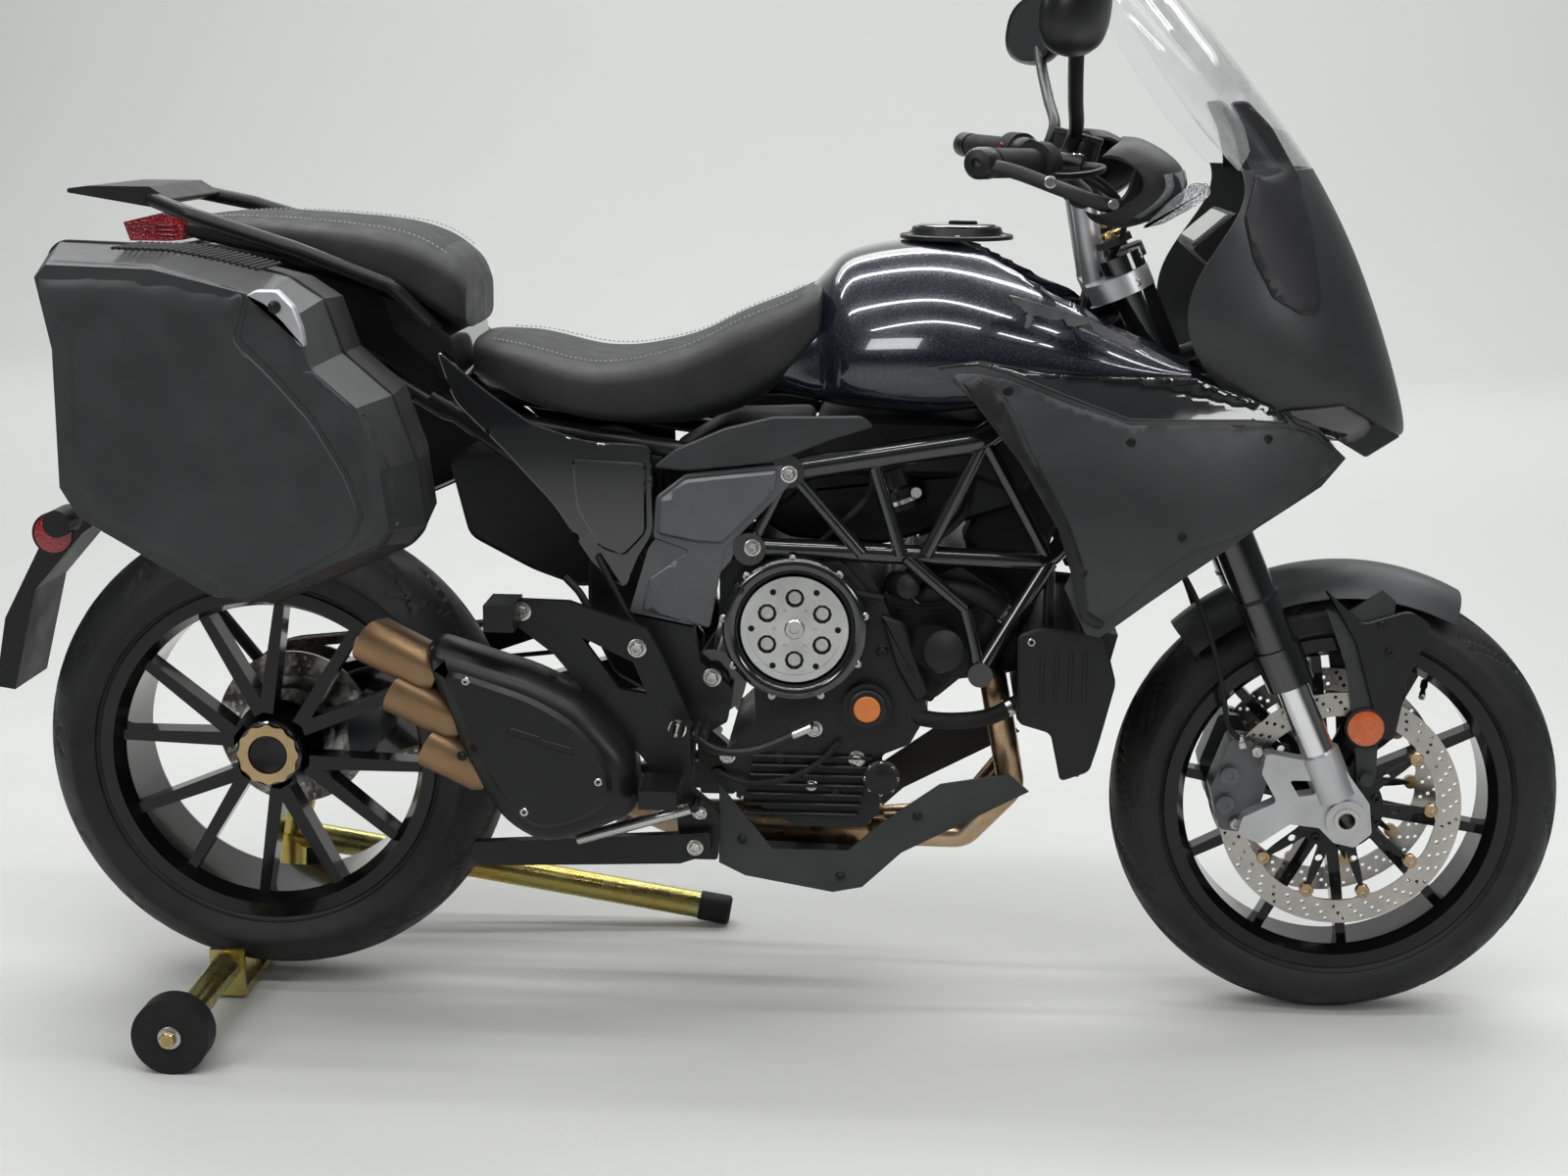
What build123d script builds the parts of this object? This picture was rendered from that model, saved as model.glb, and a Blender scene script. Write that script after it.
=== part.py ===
from build123d import *

import os
from math import cos, radians, sin

# Sport touring motorcycle on a rear paddock stand, at real size in millimetres.
# +X points forward, +Y to the rider's left, +Z up, with the floor at z = 0.
os.makedirs("parts", exist_ok=True)

# ---------------------------------------------------------------- driving dimensions
front_axle_x = 762.5
wheelbase = 1445.0
stand_lift = 22.0  # how far the paddock stand holds the rear tyre off the floor

front_tyre_r = 300.0
front_tyre_w = 120.0
front_bead_half = 44.0
rear_tyre_r = 320.0
rear_tyre_w = 190.0
rear_bead_half = 76.0
rim_seat_r = 219.0
rim_flange_r = 230.5
rim_well_r = 203.0
rim_lip = 7.0
fit_gap = 0.3  # clearance between pieces that seat on each other
run_gap = 5.0  # clearance between pieces that move past each other

front_spoke_pairs = 5
front_spoke_start = 44.0
front_pair_spread = 33.0
rear_spoke_pairs = 6
rear_spoke_start = 100.0
rear_pair_spread = 30.0

rake = 23.8
fork_offset = 25.0
fork_half_track = 105.0
fork_outer_r = 27.5
fork_inner_r = 21.5
bar_height = 1108.0
axle_r = 17.0
axle_bore_r = 11.0
disc_half_track = 68.0
disc_thickness = 4.5
front_disc_r = 160.0
front_disc_inner_r = 128.0
rear_disc_r = 110.0
rear_disc_inner_r = 74.0
rear_disc_y = 62.0

swing_pivot = (-72.0, 472.0)
swing_pivot_r = 17.0
arm_inner_y = 106.0
arm_outer_y = 136.5
chain_y = 172.0
hanger_y = 189.0  # inner face of the footrest hangers
sprocket_r = 100.0
drive_sprocket = (-8.0, 478.0)
drive_sprocket_r = 38.0

frame_half = 150.0
frame_tube_r = 13.0
brace_r = 9.0
plate_thickness = 16.0
engine_half = 142.0
clutch_centre = (37.0, 552.0)
clutch_r = 76.0

panel = 4.0
case_inner_y = 222.0
case_seam_y = 338.0
case_outer_y = 448.0
case_wall = 4.0

stand_tube_r = 20.0
stand_axle_x = -741.0
stand_wheel_r = 50.0
stand_wheel_w = 34.0
stand_right_y = -350.0
stand_left_y = 300.0
stand_pin_r = 13.0

centre_pivot = (-87.0, 264.0)
centre_half = 172.0
side_pivot = (62.0, 190.0, 280.0)

front_axle = (front_axle_x, front_tyre_r)
rear_axle = (front_axle_x - wheelbase, rear_tyre_r + stand_lift)


# ---------------------------------------------------------------- ways of making shapes
def side_plane(y, at=(0.0, 0.0)):
    """Side view at height y across the machine, origin at a point (x, z); its normal points right."""
    return Plane(origin=(at[0], y, at[1]), x_dir=(1, 0, 0), z_dir=(0, -1, 0))


def slab(outline, y_low, y_high, corner=0.0, mode=Mode.ADD):
    """Flat plate with a side-view outline, from y_low to y_high."""
    with BuildSketch(side_plane(y_high)) as profile:
        with BuildLine():
            if corner:
                FilletPolyline(*outline, radius=corner, close=True)
            else:
                Polyline(*outline, close=True)
        make_face()
    extrude(profile.sketch, amount=y_high - y_low, mode=mode)


def disc(at, radius, y_low, y_high, mode=Mode.ADD):
    """Round plate or hole lying across the machine at a point (x, z)."""
    with BuildSketch(side_plane(y_high, at)) as profile:
        Circle(radius)
    extrude(profile.sketch, amount=y_high - y_low, mode=mode)


def rod(start, end, radius, mode=Mode.ADD):
    """Round bar between two points."""
    run = Vector(*end) - Vector(*start)
    with BuildSketch(Plane(origin=start, z_dir=run)) as profile:
        Circle(radius)
    extrude(profile.sketch, amount=run.length, mode=mode)


def pipe(points, radius, bend, mode=Mode.ADD):
    """Round tube along straight runs joined by arcs."""
    with BuildLine() as route:
        FilletPolyline(*points, radius=bend)
    with BuildSketch(Plane(origin=route.line @ 0, z_dir=route.line % 0)) as profile:
        Circle(radius)
    sweep(profile.sketch, path=route.line, mode=mode)


def cross_section(x, z_low, z_high, half_width, corner):
    """One rounded cross-section of a body that is lofted along the machine."""
    middle = (z_low + z_high) / 2
    with BuildSketch(Plane(origin=(x, 0, middle), x_dir=(0, 1, 0), z_dir=(1, 0, 0))) as profile:
        RectangleRounded(2 * half_width, z_high - z_low, corner)
    return profile.sketch


def wheel_plane(hub):
    """Half-section of a wheel: local x outward from the axle, local y to the left."""
    return Plane(origin=(hub[0], 0, hub[1]), x_dir=(0, 0, 1), z_dir=(-1, 0, 0))


def wheel_axis(hub):
    return Axis((hub[0], 0, hub[1]), (0, 1, 0))


def turned(hub, outline, mode=Mode.ADD):
    """Ring turned about an axle from a half-section of (radius, y) points."""
    with BuildSketch(wheel_plane(hub)) as profile:
        Polygon(*outline, align=None)
    revolve(profile.sketch, axis=wheel_axis(hub), mode=mode)


def tyre_ring(hub, outer_r, width, bead_half):
    half = width / 2
    bead_r = rim_seat_r + fit_gap
    wall_r = rim_flange_r + 1
    shoulder_r = outer_r - 0.3 * half - 0.033 * outer_r
    shoulder = 0.965 * half
    with BuildSketch(wheel_plane(hub)) as profile:
        with BuildLine():
            Polyline((wall_r, bead_half), (bead_r, bead_half), (bead_r, -bead_half), (wall_r, -bead_half))
            for side in (-1, 1):
                ThreePointArc(
                    (wall_r, side * bead_half),
                    ((wall_r + shoulder_r) / 2, side * 0.98 * half),
                    (shoulder_r, side * shoulder),
                )
            ThreePointArc((shoulder_r, -shoulder), (outer_r, 0), (shoulder_r, shoulder))
        make_face()
    revolve(profile.sketch, axis=wheel_axis(hub))


def rim_ring(hub, bead_half):
    seat = bead_half + fit_gap
    lip = bead_half + rim_lip
    turned(
        hub,
        [
            (rim_flange_r, lip), (rim_flange_r, seat), (rim_seat_r, seat),
            (rim_seat_r, -seat), (rim_flange_r, -seat), (rim_flange_r, -lip),
            (rim_seat_r - 6, -lip), (rim_well_r, -0.75 * bead_half),
            (rim_well_r, 0.75 * bead_half), (rim_seat_r - 6, lip),
        ],
    )


def spoke_outline(root_r, tip_r, root_angle, tip_angle, root_w, tip_w):
    """Four corners of a tapered spoke in the wheel's side view."""
    root = Vector(root_r * cos(radians(root_angle)), root_r * sin(radians(root_angle)))
    tip = Vector(tip_r * cos(radians(tip_angle)), tip_r * sin(radians(tip_angle)))
    across = (tip - root).normalized().rotate(Axis.Z, 90)
    corners = (root + across * root_w / 2, root - across * root_w / 2,
               tip - across * tip_w / 2, tip + across * tip_w / 2)
    return [(corner.X, corner.Y) for corner in corners]


def spokes(hub, pairs, start, spread, root_r, tip_r, root_w, tip_w, y_low, y_high):
    with BuildSketch(side_plane(y_high, hub)) as profile:
        with PolarLocations(0, pairs, start_angle=start):
            for side in (-1, 1):
                Polygon(*spoke_outline(root_r, tip_r, side * spread * 0.12, side * spread / 2, root_w, tip_w),
                        align=None)
    extrude(profile.sketch, amount=y_high - y_low)


def fork_point(distance, y=0.0, forward=0.0):
    """Point up the fork legs from the front axle; forward is square to the legs."""
    lean = radians(rake)
    return (front_axle[0] - distance * sin(lean) + forward * cos(lean), y,
            front_axle[1] + distance * cos(lean) + forward * sin(lean))


def fork_plane(distance, forward=0.0):
    """Plane square to the fork: local x to the left, local y to the rear."""
    return Plane(origin=fork_point(distance, 0, forward), x_dir=(0, 1, 0),
                 z_dir=(-sin(radians(rake)), 0, cos(radians(rake))))


# ---------------------------------------------------------------- front wheel
with BuildPart() as front_tyre:
    tyre_ring(front_axle, front_tyre_r, front_tyre_w, front_bead_half)

with BuildPart() as front_rim:
    rim_ring(front_axle, front_bead_half)
    disc(front_axle, 36, -46, 46)
    spokes(front_axle, front_spoke_pairs, front_spoke_start, front_pair_spread,
           30, rim_well_r + 4, 18, 13, -14, 14)
    disc(front_axle, axle_r + fit_gap, -60, 60, mode=Mode.SUBTRACT)

with BuildPart() as front_discs:
    for side in (-1, 1):
        inner = disc_half_track - disc_thickness / 2
        low, high = sorted((side * inner, side * (inner + disc_thickness)))
        disc(front_axle, front_disc_r, low, high)
        disc(front_axle, front_disc_inner_r, low, high, mode=Mode.SUBTRACT)

with BuildPart() as disc_carriers:
    for side in (-1, 1):
        inner = disc_half_track - disc_thickness / 2
        low, high = sorted((side * (inner - 5), side * inner))
        disc(front_axle, 52, *sorted((side * 46, side * (inner))))
        with BuildSketch(side_plane(high, front_axle)):
            with PolarLocations(0, 10):
                Polygon(*spoke_outline(45, front_disc_inner_r + 9, 0, 12, 18, 14), align=None)
        extrude(amount=high - low)
    disc(front_axle, axle_r + fit_gap, -80, 80, mode=Mode.SUBTRACT)

# ---------------------------------------------------------------- fork and steering
axle_end = fork_half_track + 21
with BuildPart() as front_axle_tube:
    disc(front_axle, axle_r, -axle_end, axle_end)
    disc(front_axle, axle_bore_r, -axle_end, axle_end, mode=Mode.SUBTRACT)

foot_outline = [
    (655, 388), (700, 380), (745, 385), (792, 322), (797, 282), (775, 262), (748, 268),
    (728, 288), (690, 292), (652, 264), (622, 276), (628, 300), (672, 322), (650, 360),
]
with BuildPart() as fork_feet:
    for side in (-1, 1):
        y = side * fork_half_track
        low, high = sorted((side * (fork_half_track - 14), side * (fork_half_track + 14)))
        slab(foot_outline, low, high, corner=6)
        slab([(686, 352), (716, 352), (722, 334), (700, 330)], low, high, corner=3, mode=Mode.SUBTRACT)
        rod(fork_point(30, y), fork_point(96, y), 27)
        disc(front_axle, 27, *sorted((side * (fork_half_track - 20), side * (fork_half_track + 20))))
        rod(fork_point(60, y), fork_point(98, y), fork_inner_r + fit_gap, mode=Mode.SUBTRACT)
    disc(front_axle, axle_r + fit_gap, -150, 150, mode=Mode.SUBTRACT)

with BuildPart() as fork_inner:
    for side in (-1, 1):
        y = side * fork_half_track
        rod(fork_point(61, y), fork_point(215, y), fork_inner_r)

with BuildPart() as fork_outer:
    for side in (-1, 1):
        y = side * fork_half_track
        rod(fork_point(196, y), fork_point(800, y), fork_outer_r)
        rod(fork_point(196, y), fork_point(250, y), fork_outer_r + 4)
        rod(fork_point(190, y), fork_point(215.3, y), fork_inner_r + fit_gap, mode=Mode.SUBTRACT)

yoke_plate_half = fork_half_track + 40
with BuildPart() as triple_clamps:
    for distance, depth in ((480, 30), (752, 26)):
        with BuildSketch(fork_plane(distance, -fork_offset / 2)):
            SlotOverall(2 * yoke_plate_half, 82)
            with Locations((-fork_half_track, -fork_offset / 2), (fork_half_track, -fork_offset / 2)):
                Circle(fork_outer_r + fit_gap, mode=Mode.SUBTRACT)
        extrude(amount=depth)
    rod(fork_point(500, 0, -fork_offset), fork_point(770, 0, -fork_offset), 14)
    for side in (-1, 1):
        rod(fork_point(770, side * 62, -40), (394, side * 62, 1100), 16)
        disc((392, bar_height), 20 + fit_gap, *sorted((side * 40, side * 90)), mode=Mode.SUBTRACT)

with BuildPart() as handlebar:
    pipe([(262, -436, 1154), (338, -270, 1150), (392, -120, bar_height), (392, 120, bar_height),
          (338, 270, 1150), (262, 436, 1154)], 11, 40)
    for side in (-1, 1):
        disc((392, bar_height), 20, *sorted((side * 44, side * 80)))
        with BuildSketch(Plane(origin=(262, side * 436, 1154), z_dir=(-76, side * 166, 4))):
            Circle(17)
        extrude(amount=12)

with BuildPart() as grips:
    for side in (-1, 1):
        start = Vector(338, side * 270, 1150)
        along = (Vector(262, side * 436, 1154) - start).normalized()
        rod(tuple(start + along * 52), tuple(start + along * 176), 17)
        rod(tuple(start + along * 16), tuple(start + along * 50), 25)
        rod(tuple(start + along * 4), tuple(start + along * 190), 11 + fit_gap, mode=Mode.SUBTRACT)

guard_outline = [
    (380, 1102), (420, 1078), (462, 1088), (498, 1124), (478, 1160), (440, 1182), (418, 1180), (430, 1140),
]
with BuildPart() as handguards:
    for side in (-1, 1):
        slab(guard_outline, *sorted((side * 250, side * 415)), corner=5)
        slab([(365, 1106), (420, 1090), (452, 1100), (480, 1124), (462, 1150), (430, 1170), (400, 1170),
              (418, 1130)], *sorted((side * 240, side * 409)), mode=Mode.SUBTRACT)
        rod((256, side * 450, 1154.3), (247, side * 468.5, 1154.8), 15)
        rod((250, side * 468.5, 1154.6), (396, side * 416, 1112), 6)

with BuildPart() as mirrors:
    for side in (-1, 1):
        rod((357.8, side * 215, 1146), (374, side * 215, 1182), 9)
        rod((373, side * 215, 1176), (348, side * 436, 1284), 9)
        with BuildSketch(Plane(origin=(352, side * 450, 1322), x_dir=(0, 1, 0), z_dir=(-1, 0, 0.15))):
            RectangleRounded(150, 104, 36)
        extrude(amount=30, taper=8)
    add(handlebar.part, mode=Mode.SUBTRACT)
    add(grips.part, mode=Mode.SUBTRACT)

fender_gap = 20.0
with BuildPart() as front_fender:
    with BuildSketch(Plane(origin=(front_axle[0], 0, front_axle[1]),
                           x_dir=(cos(radians(62)), 0, sin(radians(62))), z_dir=(sin(radians(62)), 0, -cos(radians(62))))):
        with BuildLine():
            crown = front_tyre_r + fender_gap
            ThreePointArc((crown - 34, -70), (crown, 0), (crown - 34, 70))
            Line((crown - 34, 70), (crown - 32, 74))
            ThreePointArc((crown - 32, 74), (crown + 5, 0), (crown - 32, -74))
            Line((crown - 32, -74), (crown - 34, -70))
        make_face()
    revolve(axis=wheel_axis(front_axle), revolution_arc=-72)
    guard = [(728, 574), (750, 566), (800, 600), (818, 586), (806, 452), (806, 342), (782, 334), (776, 400),
             (758, 500)]
    for side in (-1, 1):
        slab(guard, *sorted((side * 72, side * 78)))
        disc((792, 346), 9, *sorted((side * 78, side * 91)))

caliper_outline = [(612, 398), (640, 396), (664, 348), (644, 270), (602, 274), (588, 330)]
with BuildPart() as front_calipers:
    for side in (-1, 1):
        inner, outer = disc_half_track - 28, fork_half_track - 14.5
        slab(caliper_outline, *sorted((side * inner, side * outer)), corner=8)
        disc(front_axle, front_disc_r + run_gap, *sorted((side * (disc_half_track - 13), side * (disc_half_track + 8))),
             mode=Mode.SUBTRACT)

# ---------------------------------------------------------------- rear wheel
hub_right = -56.0
with BuildPart() as rear_tyre:
    tyre_ring(rear_axle, rear_tyre_r, rear_tyre_w, rear_bead_half)

with BuildPart() as rear_rim:
    rim_ring(rear_axle, rear_bead_half)
    turned(rear_axle, [(0, hub_right), (44, hub_right), (62, -20), (62, 40), (0, 40)])
    spokes(rear_axle, rear_spoke_pairs, rear_spoke_start, rear_pair_spread,
           54, rim_well_r + 4, 20, 14, -62, -26)
    disc(rear_axle, 20 + fit_gap, -80, 60, mode=Mode.SUBTRACT)

with BuildPart() as rear_axle_nut:
    disc(rear_axle, 40, hub_right - 16, hub_right)
    disc(rear_axle, 20, hub_right, 205)
    disc(rear_axle, stand_pin_r + 0.5, 120, 205, mode=Mode.SUBTRACT)

with BuildPart() as rear_disc:
    disc(rear_axle, rear_disc_r, rear_disc_y, rear_disc_y + 5)
    disc(rear_axle, rear_disc_inner_r, rear_disc_y, rear_disc_y + 5, mode=Mode.SUBTRACT)
    disc(rear_axle, rear_disc_inner_r, rear_disc_y + 0.5, rear_disc_y + 4.5)
    disc(rear_axle, 50, 40 + fit_gap, rear_disc_y + 4.5)
    disc(rear_axle, 20 + fit_gap, 0, 120, mode=Mode.SUBTRACT)

with BuildPart() as rear_sprocket:
    disc(rear_axle, sprocket_r - 5, chain_y - 2.5, chain_y + 2.5)
    disc(rear_axle, 46, chain_y - 26, chain_y + 8)
    disc(rear_axle, 20 + fit_gap, 100, 220, mode=Mode.SUBTRACT)

# ---------------------------------------------------------------- frame
upper_boss = (27.0, 757.0)
lower_boss = (-22.0, 656.0)
front_boss = (277.0, 496.0)
head_low = fork_point(535, 0, -fork_offset)
head_high = fork_point(740, 0, -fork_offset)
with BuildPart() as frame:
    rod(head_low, head_high, 30)
    for side in (-1, 1):
        y = side * frame_half
        elbow_high = (275, y, 800)
        elbow_low = (364, side * 128, 640)
        pipe([(upper_boss[0], y, upper_boss[1]), elbow_high, fork_point(715, side * 12, -fork_offset)],
             frame_tube_r + 3, 60)
        pipe([(lower_boss[0], y, lower_boss[1]), elbow_low, fork_point(590, side * 12, -fork_offset)],
             frame_tube_r, 40)
        rod(elbow_low, elbow_high, brace_r)
        for start, end in (
            (upper_boss, lower_boss), (upper_boss, (122, 650)), ((133, 775), (172, 650)), ((275, 798), (204, 650)),
            ((179, 646), (256, 580)), ((256, 580), front_boss),
        ):
            rod((start[0], y, start[1]), (end[0], y, end[1]), brace_r)
        rod((front_boss[0], y, front_boss[1]), elbow_low, brace_r + 2)
        for boss, radius in ((upper_boss, 21), (lower_boss, 21), (front_boss, 16)):
            disc(boss, radius, *sorted((side * (frame_half - 16), side * (frame_half + 16))))
    disc(upper_boss, 12, -frame_half, frame_half)
    rod(head_low, head_high, 16, mode=Mode.SUBTRACT)

plate_outer = frame_half + plate_thickness / 2
casting_outline = [
    (-6, 744), (-112, 706), (-152, 655), (-177, 570), (-94, 554), (-84, 596), (-46, 640),
]
pivot_outline = [
    (-176, 566), (-94, 550), (-86, 505), (-44, 470), (-50, 425), (-92, 398), (-96, 330), (-60, 300),
    (-62, 236), (-112, 236), (-118, 330), (-112, 400), (-130, 470),
]
with BuildPart() as side_plates:
    for side in (-1, 1):
        slab(casting_outline, *sorted((side * (frame_half - 14), side * (frame_half + 14))), corner=4)
    add(frame.part, mode=Mode.SUBTRACT)

with BuildPart() as pivot_plates:
    for side in (-1, 1):
        slab(pivot_outline, *sorted((side * (frame_half - 12), side * (frame_half + 10))), corner=4)
    disc(swing_pivot, 24, -frame_half, frame_half)
    for side in (-1, 1):
        disc(centre_pivot, 12, *sorted((side * (frame_half - 20), side * (centre_half + 9))))
        disc((-90, 316), 5, *sorted((side * frame_half, side * (centre_half + 24))))
        for bolt in ((-165, 532), (-110, 430)):
            disc(bolt, 10, *sorted((side * frame_half, side * hanger_y)))

with BuildPart() as subframe:
    for side in (-1, 1):
        rod((-150, side * 123.7, 640), (-440, side * 112, 840), 12)
        pipe([(upper_boss[0] - 12 - fit_gap, side * 118, 756), (-420, side * 112, 820), (-560, side * 104, 902), (-760, side * 84, 988)],
             12, 40)
        for x, inner, z in ((-470, 100, 840), (-560, 96, 902), (-690, 84, 958)):
            rod((x, side * inner, z), (x, side * (case_inner_y - fit_gap), z), 8)
    rod((-560, -104, 902), (-560, 104, 902), 10)
    rod((-330, -114, 768), (-330, 114, 768), 11)

# ---------------------------------------------------------------- engine
case_outline = [
    (-62, 625), (-40, 640), (120, 640), (150, 590), (212, 440), (188, 395), (152, 380), (150, 300),
    (128, 280), (40, 280), (-50, 330), (-54, 380), (-14, 420), (-18, 520), (-62, 560),
]
with BuildPart() as crankcase:
    slab(case_outline, -engine_half, engine_half - 20, corner=10)
    disc(clutch_centre, clutch_r + 18, -engine_half - 24, -engine_half)
    disc(clutch_centre, clutch_r - 2, -engine_half - 24, -engine_half - 6, mode=Mode.SUBTRACT)
    disc((132, 447), 32, -engine_half - 16, -engine_half)
    disc(drive_sprocket, 14, engine_half - 22, chain_y + 8)
    disc(drive_sprocket, drive_sprocket_r - 4 - fit_gap, chain_y - 2.5, chain_y + 2.5)
    slab([(42, 306), (82, 306), (82, 256), (42, 256)], engine_half - 30, side_pivot[1] - 13)
    disc((side_pivot[0], side_pivot[2]), 8, side_pivot[1] - 14, side_pivot[1] + 16)
    for neighbour in (frame, side_plates, pivot_plates):
        add(neighbour.part, mode=Mode.SUBTRACT)

with BuildPart() as clutch_plate:
    disc(clutch_centre, clutch_r - 6, -engine_half - 20, -engine_half - 6)
    with BuildSketch(side_plane(-engine_half - 20, clutch_centre)):
        with PolarLocations(36, 6):
            Circle(9)
        Circle(11)
    extrude(amount=5)

cylinder_outline = [(150, 592), (185, 632), (292, 576), (212, 440)]
with BuildPart() as cylinder_block:
    slab(cylinder_outline, -118, 118, corner=6)

with BuildPart() as radiator:
    slab([(330, 562), (412, 548), (406, 442), (324, 436)], -172, 172, corner=8)
    for side in (-1, 1):
        rod((364, side * 128, 556), (364, side * 128, 640), 7)
    add(frame.part, mode=Mode.SUBTRACT)
    slab([(411, 560), (452, 552), (432, 470), (418, 404), (408, 362), (388, 362), (405, 430)], -160, 160)

with BuildPart() as exhaust_headers:
    for y in (-70, 0, 70):
        pipe([(262, y, 524), (296, y, 470), (326, y, 320), (262, y * 0.7, 244), (140, y * 0.4 - 10, 242)], 18, 28)
    rod((150, -10, 242), (-40, -40, 258), 30)
    pipe([(-36, -39, 258), (-130, -64, 264), (-196, -167, 330)], 24, 36)
    add(cylinder_block.part, mode=Mode.SUBTRACT)
    add(crankcase.part, mode=Mode.SUBTRACT)

silencer_outline = [
    (-432, 520), (-424, 545), (-370, 528), (-290, 504), (-222, 470), (-163, 402), (-157, 323), (-228, 290),
    (-280, 276), (-331, 305), (-372, 372),
]
with BuildPart() as silencer:
    slab(silencer_outline, -262, -168, corner=12)
    slab([(-240, 600), (-100, 600), (-100, 250), (-240, 250)], -300, -hanger_y + 2, mode=Mode.SUBTRACT)
    add(exhaust_headers.part, mode=Mode.SUBTRACT)

with BuildPart() as exhaust_tips:
    for mouth, root in (((-520, 548), (-436, 500)), ((-482, 480), (-404, 436)), ((-438, 408), (-372, 372))):
        rod((root[0] + 20, -214, root[1] - 12), (mouth[0], -214, mouth[1]), 30)
        rod((root[0] + 10, -214, root[1] - 6), (mouth[0] - 10, -214, mouth[1] + 6), 27, mode=Mode.SUBTRACT)
    add(silencer.part, mode=Mode.SUBTRACT)

belly_outline = [
    (-61, 337), (-61, 229), (-26, 212), (90, 192), (129, 200), (180, 249), (345, 337), (319, 360), (229, 344),
    (153, 289), (110, 250), (10, 250),
]
with BuildPart() as belly_pan:
    slab(belly_outline, -150, 150)
    slab([(-70, 345), (-70, 222), (-24, 217), (90, 197), (127, 205), (178, 254), (350, 344), (330, 380),
          (100, 380)], -150 + panel, 150 - panel, mode=Mode.SUBTRACT)
    slab([(124, 150), (124, 400), (400, 400), (400, 150)], -150 + panel, 150 - panel, mode=Mode.SUBTRACT)
    add(pivot_plates.part, mode=Mode.SUBTRACT)

# ---------------------------------------------------------------- tank, seats, tail
with BuildPart() as fuel_tank:
    loft([cross_section(*row) for row in (
        (-60, 850, 935, 80, 30), (20, 838, 990, 118, 52), (100, 824, 1034, 160, 66), (210, 822, 1046, 192, 72),
        (330, 850, 1030, 188, 62), (430, 868, 990, 186, 42), (525, 882, 922, 170, 18),
    )])
    slab([(-120, 780), (-78.5, 780), (99.5, 979), (99.5, 1100), (-120, 1100)], -260, 260, mode=Mode.SUBTRACT)
    rod(fork_point(480, 0, -fork_offset), fork_point(860, 0, -fork_offset), 146, mode=Mode.SUBTRACT)
    add(frame.part, mode=Mode.SUBTRACT)

with BuildPart() as fuel_cap:
    with BuildSketch(Plane.XY.offset(1047)):
        with Locations((236, 0)):
            Circle(62)
    extrude(amount=12, taper=20)

with BuildPart() as rider_seat:
    loft([cross_section(*row) for row in (
        (-400, 866, 915, 100, 22), (-320, 832, 902, 145, 28), (-220, 808, 882, 158, 30), (-120, 806, 900, 140, 36),
        (-30, 830, 950, 118, 40), (80, 850, 982, 100, 40),
    )])
    slab([(-79, 780), (99, 979), (99, 1100), (200, 1100), (200, 700), (-79, 700)], -260, 260, mode=Mode.SUBTRACT)

with BuildPart() as pillion_seat:
    loft([cross_section(*row) for row in (
        (-770, 1034, 1060, 92, 10), (-690, 1020, 1065, 124, 18), (-576, 1000, 1059, 140, 24),
        (-470, 966, 1044, 142, 28), (-405, 925, 996, 122, 26),
    )])

tail_outline = [
    (-402, 860), (-410, 920), (-476, 962), (-580, 996), (-690, 1016), (-770, 1030), (-832, 1028), (-760, 1000),
    (-620, 960), (-480, 880),
]
with BuildPart() as tail_cowl:
    slab(tail_outline, -128, 128)
    add(subframe.part, mode=Mode.SUBTRACT)
    add(pillion_seat.part, mode=Mode.SUBTRACT)
    add(rider_seat.part, mode=Mode.SUBTRACT)

with BuildPart() as grab_rail:
    slab([(-925, 1098), (-880, 1104), (-800, 1104), (-770, 1086), (-800, 1078)], -112, 112, corner=3)
    for side in (-1, 1):
        pipe([(-800, side * 104, 1088), (-740, side * 150, 1072), (-600, side * 160, 1030),
              (-480, side * 156, 985), (-432, side * 112, 925)], 10, 26)
    add(tail_cowl.part, mode=Mode.SUBTRACT)

with BuildPart() as tail_lamp:
    slab([(-850, 1056), (-842, 1032), (-790, 1032), (-770.3, 1034), (-770.3, 1060), (-800, 1068)], -70, 70)

# ---------------------------------------------------------------- fairings
def skin_section(x, points, thickness):
    """Thin curved band across the machine at x, through three (y, z) points."""
    (y1, z1), (y2, z2), (y3, z3) = points
    side = 1 if y2 > 0 else -1
    step = side * thickness
    with BuildSketch(Plane(origin=(x, 0, 0), x_dir=(0, 1, 0), z_dir=(1, 0, 0))) as band:
        with BuildLine():
            ThreePointArc((y1, z1), (y2, z2), (y3, z3))
            Line((y3, z3), (y3 - step, z3))
            ThreePointArc((y3 - step, z3), (y2 - step, z2), (y1 - step, z1))
            Line((y1 - step, z1), (y1, z1))
        make_face()
    return band.sketch


fairing_outline = [
    (198, 896), (230, 880), (300, 840), (342, 770), (394, 672), (376, 630), (406, 566), (424, 562), (480, 606),
    (527, 640), (620, 702), (700, 748), (732, 782), (672, 838), (504, 874), (360, 892), (264, 907),
]
with BuildPart() as side_fairings:
    for side in (-1, 1):
        loft([skin_section(x, [(side * y, z) for y, z in points], panel) for x, points in (
            (190, ((186, 940), (222, 760), (196, 540))), (400, ((186, 940), (246, 740), (214, 540))),
            (570, ((150, 940), (206, 770), (180, 560))), (760, ((84, 940), (118, 800), (96, 600))),
        )])
    slab(fairing_outline, -300, 300, mode=Mode.INTERSECT)


def cowl_section(z, tip_x, wing_x, half, shrink, back):
    """Bow-shaped section of the nose at height z, closed by a straight back."""
    with BuildSketch(Plane.XY.offset(z)) as bow:
        with BuildLine():
            ThreePointArc((wing_x - back, half - shrink), (tip_x - shrink, 0), (wing_x - back, shrink - half))
            Line((wing_x - back, shrink - half), (wing_x - back, half - shrink))
        make_face()
    return bow.sketch



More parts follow.
